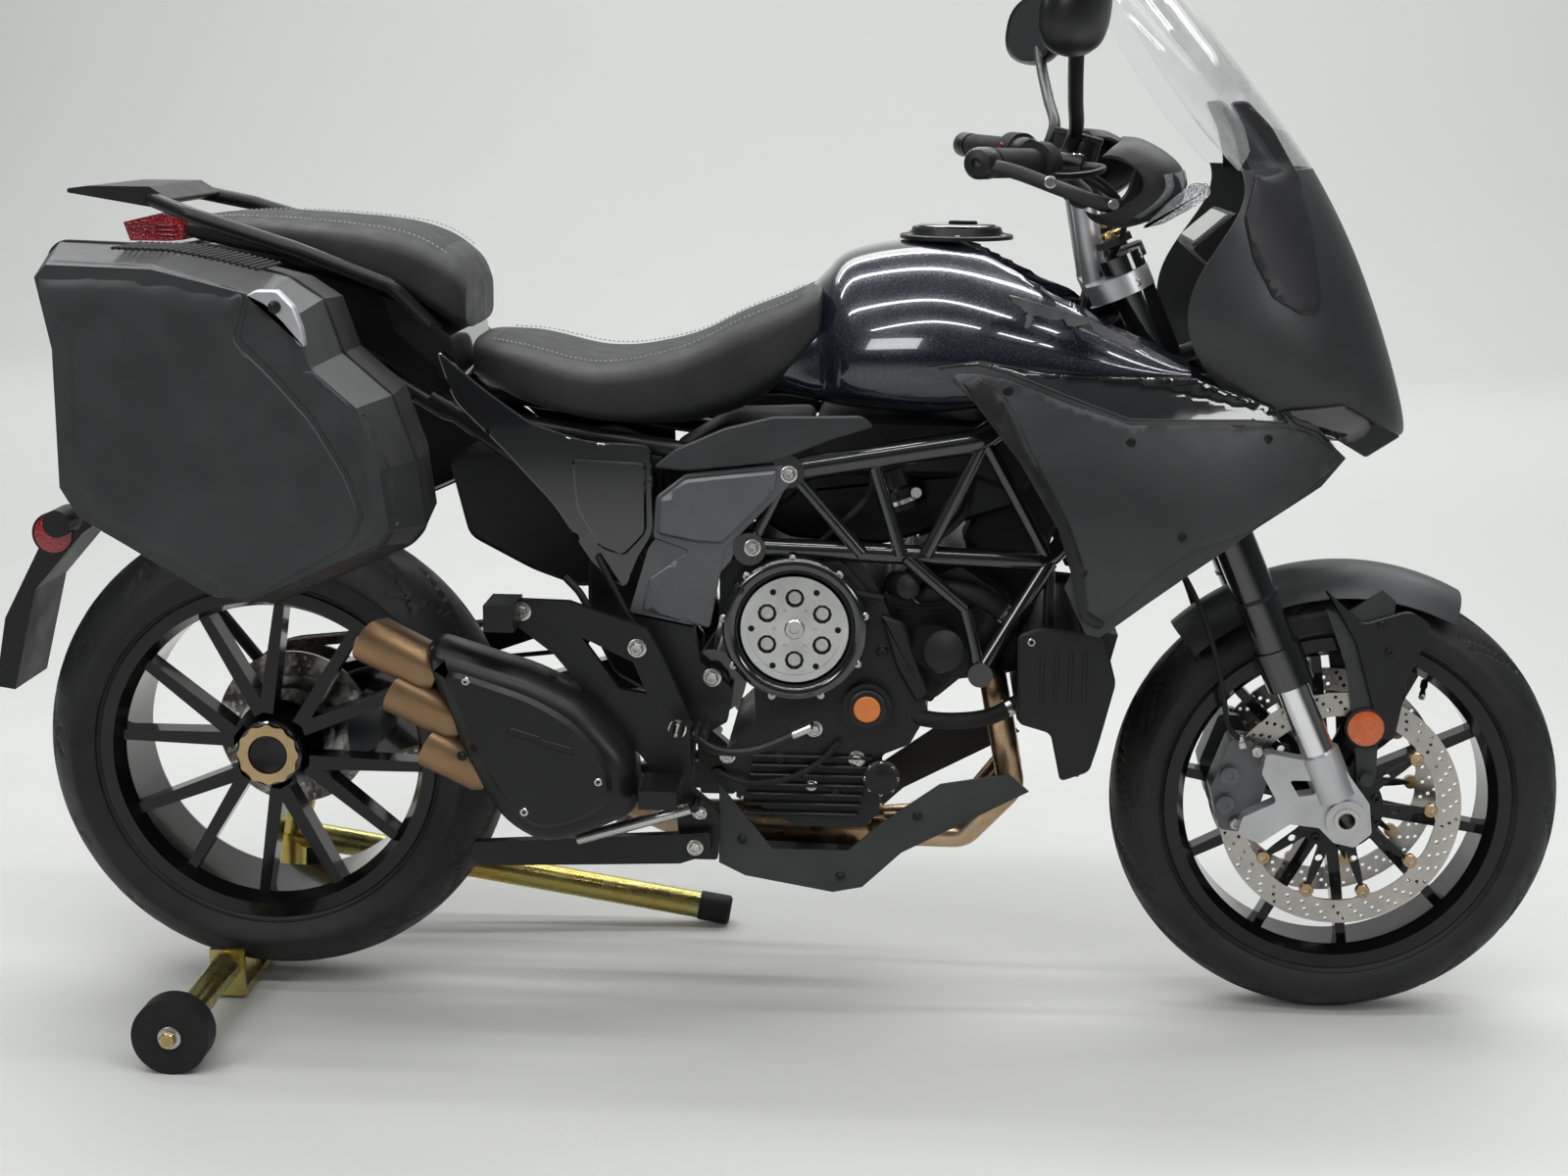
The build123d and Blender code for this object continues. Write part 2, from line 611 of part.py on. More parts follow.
nose_sections = (
    (800, 824, 690, 96), (880, 808, 560, 176), (980, 772, 520, 196), (1060, 736, 560, 190), (1140, 690, 580, 168),
)
with BuildPart() as nose_fairing:
    loft([cowl_section(*row, 0.0, 0.0) for row in nose_sections])
    loft([cowl_section(*row, panel, 6.0) for row in nose_sections], mode=Mode.SUBTRACT)
    add(side_fairings.part, mode=Mode.SUBTRACT)

with BuildPart() as headlamp:
    loft([cowl_section(*row, panel + fit_gap, 0.0) for row in nose_sections])
    slab([(724, 806), (900, 806), (900, 846), (748, 846)], -200, 200, mode=Mode.INTERSECT)

with BuildPart() as windscreen:
    for z, tip_x, wing_x, half in ((1140 + fit_gap, 690, 580, 168), (1230, 622, 500, 172), (1320, 546, 440, 160),
                                   (1410, 470, 392, 118)):
        with BuildSketch(Plane.XY.offset(z)):
            with BuildLine():
                ThreePointArc((wing_x, half), (tip_x, 0), (wing_x, -half))
                Line((wing_x, -half), (wing_x - 5, -half))
                ThreePointArc((wing_x - 5, -half), (tip_x - 5, 0), (wing_x - 5, half))
                Line((wing_x - 5, half), (wing_x, half))
            make_face()
    loft()

with BuildPart() as dashboard:
    slab([(532, 1040), (566, 1010), (612, 1052), (585, 1086)], -96, 96, corner=4)
    stay_x, stay_z = 614, 925
    rod(fork_point(640, 0, 0), (stay_x, 0, stay_z), 12)
    rod((stay_x, 0, stay_z), (590, 0, 1036), 10)
    rod((stay_x, -194.8, stay_z), (stay_x, 194.8, stay_z), 9)
    for neighbour in (frame, nose_fairing):
        add(neighbour.part, mode=Mode.SUBTRACT)

# ---------------------------------------------------------------- swingarm, shock, chain
arm_outline = [
    (swing_pivot[0] + 30, swing_pivot[1] + 40), (swing_pivot[0] + 30, swing_pivot[1] - 40), (-330, 372),
    (rear_axle[0] + 40, rear_axle[1] - 78), (rear_axle[0] - 40, rear_axle[1] - 78),
    (rear_axle[0] - 84, rear_axle[1]), (rear_axle[0] - 40, rear_axle[1] + 78), (rear_axle[0] + 60, rear_axle[1] + 84),
    (-330, 500),
]
with BuildPart() as swingarm:
    slab(arm_outline, arm_inner_y, arm_outer_y, corner=16)
    slab([(-130, 474), (-340, 410), (-520, 340), (-560, 390), (-340, 470)], arm_inner_y, arm_outer_y, corner=10,
         mode=Mode.SUBTRACT)
    disc(swing_pivot, 44, -frame_half + 13, arm_outer_y - 14)
    disc(swing_pivot, 24 + fit_gap, -200, 200, mode=Mode.SUBTRACT)
    disc(rear_axle, 62, 72, arm_inner_y)
    disc(rear_axle, 20 + fit_gap, 0, 220, mode=Mode.SUBTRACT)

with BuildPart() as shock:
    rod((-104, 0, 490), (-330, 0, 768), 18)
    rod((-180, 0, 583), (-286, 0, 714), 34)
    add(swingarm.part, mode=Mode.SUBTRACT)
    add(subframe.part, mode=Mode.SUBTRACT)

with BuildPart() as rear_caliper:
    slab([(-600, 300), (-560, 320), (-556, 380), (-590, 392), (-604, 350)], 46, arm_inner_y, corner=6)
    disc(rear_axle, rear_disc_r + run_gap, rear_disc_y - run_gap, rear_disc_y + 5 + run_gap, mode=Mode.SUBTRACT)

chain_link_half = 7.5
roller_r = 4.0


def chain_loop(spread):
    """Side view of the chain's run round both sprockets, spread outward from the pitch line."""
    with BuildSketch(side_plane(0)) as loop:
        for centre, pitch_r in ((rear_axle, sprocket_r), (drive_sprocket, drive_sprocket_r)):
            with Locations(centre):
                Circle(pitch_r + spread)
        make_hull()
    return loop.sketch


with BuildPart() as chain:
    for edge in (-1, 1):
        low = chain_y + edge * 6.5 - 1
        extrude(chain_loop(chain_link_half).moved(Location((0, low + 2, 0))), amount=2)
        extrude(chain_loop(-chain_link_half).moved(Location((0, low + 2, 0))), amount=2, mode=Mode.SUBTRACT)
    for centre, pitch_r, count, first in ((rear_axle, sprocket_r, 20, 100), (drive_sprocket, drive_sprocket_r, 8, -80)):
        for step in range(count):
            angle = radians(first + 170 * step / (count - 1))
            disc((centre[0] + pitch_r * cos(angle), centre[1] + pitch_r * sin(angle)), roller_r,
                 chain_y - 7.5, chain_y + 7.5)

# ---------------------------------------------------------------- footrests and rear end
hanger_outline = [
    (-335, 592), (-250, 590), (-150, 556), (-130, 520), (-95, 440), (-95, 370), (-130, 345), (-152, 380),
    (-270, 520), (-322, 560),
]
with BuildPart() as footrests:
    for side in (-1, 1):
        low, high = sorted((side * hanger_y, side * (hanger_y + 12)))
        slab(hanger_outline, low, high)
        slab([(-235, 544), (-168, 512), (-150, 470), (-186, 476)], low, high, mode=Mode.SUBTRACT)
        slab([(-152, 366), (-104, 366), (-104, 342), (-152, 342)], *sorted((side * (hanger_y + 11), side * 286)))
        slab([(-350, 596), (-312, 596), (-312, 562), (-350, 562)], *sorted((side * hanger_y, side * 262)))

hanger_line = [
    (-700, 690), (-840, 700), (-930, 640), (-1000, 560), (-1036, 420), (-1062.5, 424), (-1044, 520), (-980, 640),
    (-880, 724), (-700, 716),
]
with BuildPart() as plate_hanger:
    slab(hanger_line, -60, 60)
    pipe([(-724, arm_outer_y - 16, 396), (-850, 112, 560), (-930, 96, 640), (-960, 40, 640)], 9, 30)
    add(swingarm.part, mode=Mode.SUBTRACT)

with BuildPart() as rear_lights:
    for side in (-1, 1):
        rod((-925, side * 60, 672), (-925, side * 120, 672), 8)
        rod((-925, side * 120, 672), (-925, side * 170, 672), 18)

# ---------------------------------------------------------------- panniers
case_outline_side = [
    (-852, 1032), (-836, 1048), (-700, 1044), (-560, 1010), (-520, 984), (-498, 920), (-440, 870), (-412, 790),
    (-402, 712), (-420, 690), (-592, 612), (-644, 622), (-812, 722), (-834, 760), (-834, 940),
]


def shrunk(outline, amount):
    """Outline moved towards its own middle by a share, for drafted and hollow shapes."""
    middle_x = sum(point[0] for point in outline) / len(outline)
    middle_z = sum(point[1] for point in outline) / len(outline)
    return [(middle_x + (x - middle_x) * (1 - amount), middle_z + (z - middle_z) * (1 - amount)) for x, z in outline]


def case_face(y, share):
    with BuildSketch(side_plane(y)) as face:
        with BuildLine():
            Polyline(*shrunk(case_outline_side, share), close=True)
        make_face()
    return face.sketch


def case_half(side, y_open, y_closed, draft):
    step = case_wall if y_closed > y_open else -case_wall
    loft([case_face(side * y_open, 0.0), case_face(side * y_closed, draft)], ruled=True)
    loft([case_face(side * (y_open - step), 0.02), case_face(side * (y_closed - step), draft + 0.02)],
         ruled=True, mode=Mode.SUBTRACT)


with BuildPart() as pannier_boxes:
    for side in (-1, 1):
        case_half(side, case_seam_y, case_inner_y, 0.05)

with BuildPart() as pannier_lid_right:
    case_half(-1, case_seam_y + 0.5, case_outer_y, 0.10)

with BuildPart() as pannier_lid_left:
    case_half(1, case_seam_y + 0.5, case_outer_y, 0.10)

# ---------------------------------------------------------------- stands
with BuildPart() as centre_stand:
    for side in (-1, 1):
        low, high = sorted((side * (centre_half - 8), side * (centre_half + 8)))
        slab([(-70, 280), (-70, 250), (-110, 236), (-372, 226), (-388, 236), (-384, 258), (-110, 276)], low, high,
             corner=4)
    disc((-200, 250), 10, -centre_half, centre_half)
    disc(centre_pivot, 12 + fit_gap, -300, 300, mode=Mode.SUBTRACT)

with BuildPart() as centre_stand_spring:
    rod((-95.2, -centre_half - 16.3, 314.4), (-244, -centre_half - 16.3, 269), 8)

with BuildPart() as side_stand:
    rod(side_pivot, (side_pivot[0] - 262, side_pivot[1] + 14, side_pivot[2] - 12), 11)
    disc((side_pivot[0], side_pivot[2]), 16, side_pivot[1] - 12, side_pivot[1] + 12)
    disc((side_pivot[0], side_pivot[2]), 8 + fit_gap, side_pivot[1] - 30, side_pivot[1] + 30, mode=Mode.SUBTRACT)

strap_half = 114.0  # the cross tube stops here and a low strap passes under the tyre
with BuildPart() as paddock_stand:
    for side, wheel_y in ((-1, stand_right_y), (1, stand_left_y)):
        inner = wheel_y - side * (stand_wheel_w / 2 + 6)
        rod((stand_axle_x, side * strap_half, stand_wheel_r), (stand_axle_x, inner, stand_wheel_r), stand_tube_r)
        rod((stand_axle_x, inner - side * 10, stand_wheel_r), (stand_axle_x, inner + side * 54, stand_wheel_r), 9)
        slab([(stand_axle_x - 24, 72), (stand_axle_x + 24, 72), (stand_axle_x + 24, 6), (stand_axle_x - 24, 6)],
             *sorted((side * (strap_half - 8), side * strap_half)))
    slab([(stand_axle_x - 24, 16), (stand_axle_x + 24, 16), (stand_axle_x + 24, 6), (stand_axle_x - 24, 6)],
         -strap_half, strap_half)
    rod((stand_axle_x, 240, stand_wheel_r), (stand_axle_x, 240, 130), stand_tube_r)
    rod((stand_axle_x, 240, 110), (rear_axle[0], 240, rear_axle[1] + 10), stand_tube_r)
    disc(rear_axle, stand_pin_r, 124, 240)
    rod((stand_axle_x, 240, 128), (-84, 246, 21), stand_tube_r)

with BuildPart() as stand_wheel_right:
    disc((stand_axle_x, stand_wheel_r), stand_wheel_r, stand_right_y - stand_wheel_w / 2, stand_right_y + stand_wheel_w / 2)
    disc((stand_axle_x, stand_wheel_r), 9 + fit_gap, stand_right_y - 30, stand_right_y + 30, mode=Mode.SUBTRACT)

with BuildPart() as stand_wheel_left:
    disc((stand_axle_x, stand_wheel_r), stand_wheel_r, stand_left_y - stand_wheel_w / 2, stand_left_y + stand_wheel_w / 2)
    disc((stand_axle_x, stand_wheel_r), 9 + fit_gap, stand_left_y - 30, stand_left_y + 30, mode=Mode.SUBTRACT)

# ---------------------------------------------------------------- export
pieces = {
    "front_tyre": front_tyre, "front_rim": front_rim, "front_discs": front_discs, "disc_carriers": disc_carriers,
    "front_axle_tube": front_axle_tube, "fork_feet": fork_feet, "fork_inner": fork_inner, "fork_outer": fork_outer,
    "triple_clamps": triple_clamps, "handlebar": handlebar, "grips": grips, "handguards": handguards,
    "mirrors": mirrors, "front_fender": front_fender, "front_calipers": front_calipers,
    "rear_tyre": rear_tyre, "rear_rim": rear_rim, "rear_axle_nut": rear_axle_nut, "rear_disc": rear_disc,
    "rear_sprocket": rear_sprocket, "frame": frame, "side_plates": side_plates, "pivot_plates": pivot_plates,
    "subframe": subframe, "crankcase": crankcase, "clutch_plate": clutch_plate, "cylinder_block": cylinder_block,
    "radiator": radiator, "exhaust_headers": exhaust_headers, "silencer": silencer, "exhaust_tips": exhaust_tips,
    "belly_pan": belly_pan, "fuel_tank": fuel_tank, "fuel_cap": fuel_cap, "rider_seat": rider_seat,
    "pillion_seat": pillion_seat, "tail_cowl": tail_cowl, "grab_rail": grab_rail, "tail_lamp": tail_lamp,
    "side_fairings": side_fairings, "nose_fairing": nose_fairing, "headlamp": headlamp, "windscreen": windscreen,
    "dashboard": dashboard, "swingarm": swingarm, "shock": shock, "rear_caliper": rear_caliper, "chain": chain,
    "footrests": footrests, "plate_hanger": plate_hanger, "rear_lights": rear_lights,
    "pannier_boxes": pannier_boxes, "pannier_lid_right": pannier_lid_right, "pannier_lid_left": pannier_lid_left,
    "centre_stand": centre_stand, "centre_stand_spring": centre_stand_spring, "side_stand": side_stand,
    "paddock_stand": paddock_stand, "stand_wheel_right": stand_wheel_right, "stand_wheel_left": stand_wheel_left,
}
for name, piece in pieces.items():
    piece.part.label = name
    export_step(piece.part, f"parts/{name}.step")
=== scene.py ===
import math

import bmesh
import bpy
import numpy as np
from mathutils import Matrix, Vector
from mathutils.bvhtree import BVHTree
from mathutils.geometry import delaunay_2d_cdt


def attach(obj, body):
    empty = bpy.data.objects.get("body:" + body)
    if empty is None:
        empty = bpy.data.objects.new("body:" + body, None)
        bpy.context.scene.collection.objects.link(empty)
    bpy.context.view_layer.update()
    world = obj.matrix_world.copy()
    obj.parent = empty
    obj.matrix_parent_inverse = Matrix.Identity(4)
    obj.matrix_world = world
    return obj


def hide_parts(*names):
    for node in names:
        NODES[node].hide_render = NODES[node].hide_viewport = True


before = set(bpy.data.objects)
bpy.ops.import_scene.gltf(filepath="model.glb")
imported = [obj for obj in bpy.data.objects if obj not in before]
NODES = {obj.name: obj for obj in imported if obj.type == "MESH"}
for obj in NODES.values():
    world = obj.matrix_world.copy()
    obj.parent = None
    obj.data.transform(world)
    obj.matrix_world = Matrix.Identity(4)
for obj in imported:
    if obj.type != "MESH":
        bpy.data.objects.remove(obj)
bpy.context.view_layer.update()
scene = bpy.context.scene
MM = 0.001
SIDES = ((-1, "right"), (1, "left"))

# Reference places and sizes, in millimetres, the same as in the CAD source.
FRONT_AXLE = (762.5, 300.0)
REAR_AXLE = (-682.5, 342.0)
RAKE = math.radians(23.8)
BEAD_SEAT = 219
CLUTCH = (37.0, 552.0)
FILLER = (236, 0)
SPROCKET = (-8.0, 478.0)
STAND_WHEEL = (-741, 50)


# -------------------- camera
def place_camera():
    """The photograph's camera, solved from the two wheels; place in metres."""
    yaw, pitch, roll = math.radians(-3.174), math.radians(11.986), math.radians(0.504)
    forward = Vector((math.sin(yaw) * math.cos(pitch), math.cos(yaw) * math.cos(pitch),
                      -math.sin(pitch)))
    right = Vector((math.cos(yaw), -math.sin(yaw), 0))
    up = right.cross(forward)
    right_r = math.cos(roll) * right + math.sin(roll) * up
    up_r = -math.sin(roll) * right + math.cos(roll) * up
    data = bpy.data.cameras.new("camera")
    data.sensor_width = 36.0
    data.lens = 53.95
    camera = bpy.data.objects.new("camera", data)
    turn = Matrix((right_r, up_r, -forward)).transposed().to_4x4()
    camera.matrix_world = Matrix.Translation((0.1864, -3.1138, 1.2330)) @ turn
    scene.collection.objects.link(camera)
    scene.camera = camera


place_camera()


# -------------------- materials
class Nodes:
    """Short way of making and joining shader nodes."""

    INPUTS = {"metal": "Metallic", "rough": "Roughness", "coat": "Coat Weight",
              "coat_rough": "Coat Roughness", "ior": "IOR", "spec": "Specular IOR Level",
              "trans": "Transmission Weight", "alpha": "Alpha", "sheen": "Sheen Weight",
              "sheen_rough": "Sheen Roughness"}

    def __init__(self, name):
        self.material = bpy.data.materials.new(name)
        self.material.use_nodes = True
        self.tree = self.material.node_tree
        self.shader = self.tree.nodes["Principled BSDF"]
        self.coords = self.add("ShaderNodeTexCoord").outputs["Object"]

    def add(self, kind, **values):
        """New node with its settings."""
        node = self.tree.nodes.new(kind)
        for key, value in values.items():
            setattr(node, key, value)
        return node

    def link(self, output, target):
        self.tree.links.new(output, target)

    def noise(self, scale, detail=4.0):
        """Soft noise over the object's own coordinates."""
        node = self.add("ShaderNodeTexNoise")
        node.inputs["Scale"].default_value = scale
        node.inputs["Detail"].default_value = detail
        node.inputs["Roughness"].default_value = 0.55
        self.link(self.coords, node.inputs["Vector"])
        return node.outputs["Fac"]

    def voronoi(self, scale, output="Distance", feature="F1"):
        node = self.add("ShaderNodeTexVoronoi", feature=feature)
        node.inputs["Scale"].default_value = scale
        self.link(self.coords, node.inputs["Vector"])
        return node.outputs[output]

    def math(self, operation, a, b=0.0):
        node = self.add("ShaderNodeMath", operation=operation)
        for socket, value in zip(node.inputs, (a, b)):
            if isinstance(value, (int, float)):
                socket.default_value = value
            else:
                self.link(value, socket)
        return node.outputs[0]

    def span(self, value, low, high, to_low=0.0, to_high=1.0):
        """The value moved from one range to another, held at both ends."""
        node = self.add("ShaderNodeMapRange")
        ends = {"From Min": low, "From Max": high, "To Min": to_low, "To Max": to_high}
        for key, number in ends.items():
            node.inputs[key].default_value = number
        self.link(value, node.inputs["Value"])
        return node.outputs["Result"]

    def blend(self, factor, a, b):
        node = self.add("ShaderNodeMix", data_type="RGBA")
        self.link(factor, node.inputs["Factor"])
        for socket, value in ((node.inputs["A"], a), (node.inputs["B"], b)):
            if isinstance(value, (tuple, list)):
                socket.default_value = (*value, 1.0)
            else:
                self.link(value, socket)
        return node.outputs["Result"]

    def axis(self, letter):
        """One of the object's own coordinates, in metres."""
        node = self.add("ShaderNodeSeparateXYZ")
        self.link(self.coords, node.inputs[0])
        return node.outputs[letter]

    def radius(self, centre):
        """Distance from an axle lying across the machine at (x, z) in millimetres."""
        squares = []
        for letter, middle in zip("XZ", centre):
            away = self.math("SUBTRACT", self.axis(letter), middle * MM)
            squares.append(self.math("MULTIPLY", away, away))
        return self.math("SQRT", self.math("ADD", *squares))

    def bump(self, height, strength, distance, under=None):
        """Relief on the shader, over the relief given as under."""
        node = self.add("ShaderNodeBump")
        node.inputs["Strength"].default_value = strength
        node.inputs["Distance"].default_value = distance
        self.link(height, node.inputs["Height"])
        if under is not None:
            self.link(under, node.inputs["Normal"])
        self.link(node.outputs["Normal"], self.shader.inputs["Normal"])
        return node.outputs["Normal"]

    def set(self, **values):
        """Plain shader inputs by their short names."""
        for key, value in values.items():
            self.shader.inputs[self.INPUTS[key]].default_value = value
        return self

    def tones(self, colour, spread=0.12, scale=9.0):
        """Base colour that drifts a little over the surface, as real paint, metal and rubber do."""
        low = tuple(c * (1 - spread) for c in colour)
        high = tuple(min(1.0, c * (1 + spread)) for c in colour)
        self.colour(self.blend(self.span(self.noise(scale), 0.35, 0.65), low, high))
        return self

    def colour(self, output):
        self.link(output, self.shader.inputs["Base Color"])

    def rough_drift(self, low, high, scale=22.0):
        """Roughness that drifts between two values."""
        drift = self.span(self.noise(scale, 5.0), 0.3, 0.7, low, high)
        self.link(drift, self.shader.inputs["Roughness"])
        return self


def surface(name, colour, low, high, grain=900.0, grain_strength=0.12, grain_depth=0.0002,
            spread=0.12, **settings):
    """Painted, moulded or cast surface: drifting colour and roughness over a fine grain."""
    made = Nodes(name).set(**settings)
    made.tones(colour, spread)
    made.rough_drift(low, high)
    if grain:
        made.bump(made.noise(grain, 3.0), grain_strength, grain_depth)
    return made.material


def flake_paint():
    """Deep black gloss with a fine blue flake under the lacquer."""
    made = Nodes("flake_black").set(coat=1.0, coat_rough=0.02, metal=0.35, ior=1.5)
    flake = made.voronoi(1500.0, "Color")
    split = made.add("ShaderNodeSeparateColor")
    made.link(flake, split.inputs[0])
    spark = made.span(split.outputs[0], 0.86, 1.0)
    drift = made.span(made.noise(6.0), 0.3, 0.7)
    base = made.blend(drift, (0.0035, 0.0040, 0.006), (0.006, 0.007, 0.011))
    made.colour(made.blend(spark, base, (0.05, 0.09, 0.17)))
    made.rough_drift(0.16, 0.24, 30.0)
    return made.material


def leather(name, colour):
    """Seat cover with an irregular pressed grain."""
    made = Nodes(name).set(ior=1.45, spec=0.35, sheen=0.03, sheen_rough=0.4)
    made.tones(colour, 0.25, 14.0)
    made.rough_drift(0.42, 0.58, 40.0)
    grain = made.voronoi(420.0, "Distance", "DISTANCE_TO_EDGE")
    normal = made.bump(made.span(grain, 0.0, 0.12), 0.35, 0.0006)
    made.bump(made.noise(900.0, 4.0), 0.15, 0.0002, normal)
    return made.material


def pressed_cover(name, colour):
    """Seat cover pressed with rows of small studs."""
    made = Nodes(name).set(ior=1.45, spec=0.3)
    made.tones(colour, 0.2, 14.0)
    made.rough_drift(0.5, 0.62, 40.0)
    wave = None
    for letter in ("X", "Y"):
        angle = made.math("MULTIPLY", made.axis(letter), 2 * math.pi / 0.006)
        part = made.math("ABSOLUTE", made.math("SINE", angle))
        wave = part if wave is None else made.math("MULTIPLY", wave, part)
    normal = made.bump(wave, 0.55, 0.0008)
    made.bump(made.noise(1100.0, 3.0), 0.15, 0.0002, normal)
    return made.material


def turned_metal(name, colour, centre, rough=0.24, rings=1400.0):
    """Metal with fine turning rings round an axle."""
    made = Nodes(name).set(metal=1.0)
    made.tones(colour, 0.10, 30.0)
    made.rough_drift(rough * 0.8, rough * 1.25, 60.0)
    ring = made.math("SINE", made.math("MULTIPLY", made.radius(centre), 2 * math.pi * rings))
    made.bump(ring, 0.10, 0.0002)
    return made.material


def tyre_rubber(name, centre):
    """Black rubber with fine moulded rings on the side walls."""
    made = Nodes(name).set(ior=1.5, spec=0.28)
    made.tones((0.0135, 0.0135, 0.014), 0.25, 12.0)
    made.rough_drift(0.44, 0.62, 35.0)
    ring = made.math("SINE", made.math("MULTIPLY", made.radius(centre), 2 * math.pi * 420.0))
    inside = made.math("LESS_THAN", made.radius(centre), 0.262)
    normal = made.bump(made.math("MULTIPLY", ring, inside), 0.18, 0.0004)
    made.bump(made.noise(700.0, 4.0), 0.25, 0.0003, normal)
    return made.material


def heated_metal(name):
    """Stainless pipe tinted brown, straw and blue by heat."""
    made = Nodes(name).set(metal=1.0)
    drift = made.noise(14.0, 5.0)
    straw = made.blend(made.span(drift, 0.3, 0.6), (0.30, 0.17, 0.09), (0.55, 0.40, 0.24))
    blue = made.span(made.noise(7.0, 3.0), 0.58, 0.72)
    made.colour(made.blend(blue, straw, (0.20, 0.22, 0.34)))
    made.rough_drift(0.22, 0.42, 45.0)
    made.bump(made.noise(300.0, 4.0), 0.12, 0.0003)
    return made.material


def passivated_steel(name):
    """Yellow-gold zinc plate, iridescent towards green and pink."""
    made = Nodes(name).set(metal=0.95)
    drift = made.noise(11.0, 4.0)
    warm = made.blend(made.span(drift, 0.35, 0.62), (0.50, 0.36, 0.09), (0.44, 0.42, 0.16))
    pink = made.span(made.noise(23.0, 3.0), 0.6, 0.75)
    made.colour(made.blend(pink, warm, (0.42, 0.25, 0.20)))
    made.rough_drift(0.2, 0.36, 30.0)
    made.bump(made.noise(420.0, 3.0), 0.08, 0.0002)
    return made.material


def clear_plastic(name, colour, alpha):
    """Thin clear screen, nearly without bending of the light."""
    made = Nodes(name).set(trans=1.0, ior=1.25, rough=0.03, coat=0.6, coat_rough=0.02, alpha=alpha)
    made.tones(colour, 0.03, 5.0)
    made.bump(made.noise(6.0, 2.0), 0.02, 0.001)
    return made.material


def lens(name, colour, trans=0.55):
    """Moulded lamp lens with small prisms."""
    made = Nodes(name).set(trans=trans, ior=1.49, coat=1.0, coat_rough=0.03)
    made.tones(colour, 0.12, 60.0)
    made.rough_drift(0.08, 0.16, 50.0)
    made.bump(made.voronoi(260.0), 0.5, 0.002)
    return made.material


M = {
    "flake": flake_paint(),
    "gloss": surface("gloss_black", (0.0065, 0.0065, 0.007), 0.08, 0.15, grain=0, coat=1.0,
                     coat_rough=0.03),
    "frame": surface("frame_black", (0.007, 0.007, 0.0075), 0.14, 0.24, 500.0, 0.05, coat=0.8,
                     coat_rough=0.06),
    "satin": surface("satin_black", (0.0075, 0.0075, 0.008), 0.30, 0.42, 1100.0, 0.12, spec=0.32),
    "plastic": surface("moulded_black", (0.009, 0.009, 0.0095), 0.44, 0.58, 650.0, 0.30, 0.0003,
                       spec=0.28),
    "grey": surface("matte_grey", (0.043, 0.0435, 0.045), 0.36, 0.46, 1500.0, 0.08, 0.0001,
                    metal=0.5, spec=0.3),
    "dark_grey": surface("matte_dark_grey", (0.026, 0.026, 0.0275), 0.38, 0.48, 1300.0, 0.10,
                         0.0001, metal=0.4, spec=0.28),
    "cast": surface("grey_casting", (0.112, 0.115, 0.122), 0.38, 0.50, 900.0, 0.30, 0.0002,
                    metal=0.75),
    "silver": surface("silver_casting", (0.50, 0.50, 0.51), 0.32, 0.46, 620.0, 0.25, 0.0003,
                      metal=0.85),
    "steel": surface("plain_steel", (0.52, 0.51, 0.49), 0.20, 0.34, 900.0, 0.10, metal=1.0),
    "chrome": surface("hard_chrome", (0.78, 0.78, 0.79), 0.05, 0.10, 1500.0, 0.02, metal=1.0,
                      spread=0.04),
    "bronze": surface("bronze_coat", (0.26, 0.165, 0.085), 0.34, 0.46, 900.0, 0.15, metal=0.75),
    "nut": surface("bronze_anodised", (0.42, 0.30, 0.16), 0.20, 0.30, 900.0, 0.08, metal=1.0),
    "engine": surface("engine_black", (0.010, 0.010, 0.0105), 0.34, 0.48, 520.0, 0.40, 0.0003,
                      metal=0.2, spec=0.35),
    "leather": leather("seat_leather", (0.012, 0.012, 0.013)),
    "pressed": pressed_cover("seat_pressed", (0.014, 0.014, 0.015)),
    "rubber": surface("grip_rubber", (0.009, 0.009, 0.009), 0.55, 0.7, 500.0, 0.4, 0.0004,
                      spec=0.25),
    "thread": surface("pale_thread", (0.30, 0.30, 0.31), 0.6, 0.7, 1800.0, 0.4, 0.0002),
    "heat": heated_metal("heat_tinted"),
    "zinc": passivated_steel("zinc_yellow"),
    "front_tyre": tyre_rubber("tyre_front_rubber", FRONT_AXLE),
    "rear_tyre": tyre_rubber("tyre_rear_rubber", REAR_AXLE),
    "front_disc": turned_metal("front_disc_steel", (0.43, 0.41, 0.38), FRONT_AXLE),
    "rear_disc": turned_metal("rear_disc_steel", (0.50, 0.48, 0.45), REAR_AXLE),
    "clutch": turned_metal("clutch_silver", (0.58, 0.58, 0.57), CLUTCH, 0.22, 900.0),
    "screen": clear_plastic("clear_screen", (0.90, 0.93, 0.95), 0.35),
    "red": lens("red_lens", (0.50, 0.004, 0.012)),
    "amber": lens("amber_lens", (0.75, 0.13, 0.01), 0.4),
    "clear": lens("clear_lens", (0.85, 0.86, 0.88), 0.85),
    "lamp": surface("lamp_reflector", (0.75, 0.76, 0.78), 0.06, 0.14, 0, metal=1.0),
    "rim": surface("rim_black", (0.004, 0.004, 0.0043), 0.12, 0.20, grain=0, coat=0.25,
                   coat_rough=0.05, spec=0.22),
    "orange": surface("orange_cover", (0.55, 0.16, 0.03), 0.3, 0.42, 700.0, 0.2),
    "gold": surface("gold_anodised", (0.62, 0.42, 0.14), 0.2, 0.3, 900.0, 0.08, metal=1.0),
    "dark_glass": surface("display_glass", (0.004, 0.005, 0.006), 0.04, 0.08, 0, coat=1.0,
                          coat_rough=0.02),
    "chain": surface("chain_steel", (0.24, 0.21, 0.16), 0.28, 0.44, 900.0, 0.2, metal=1.0),
}

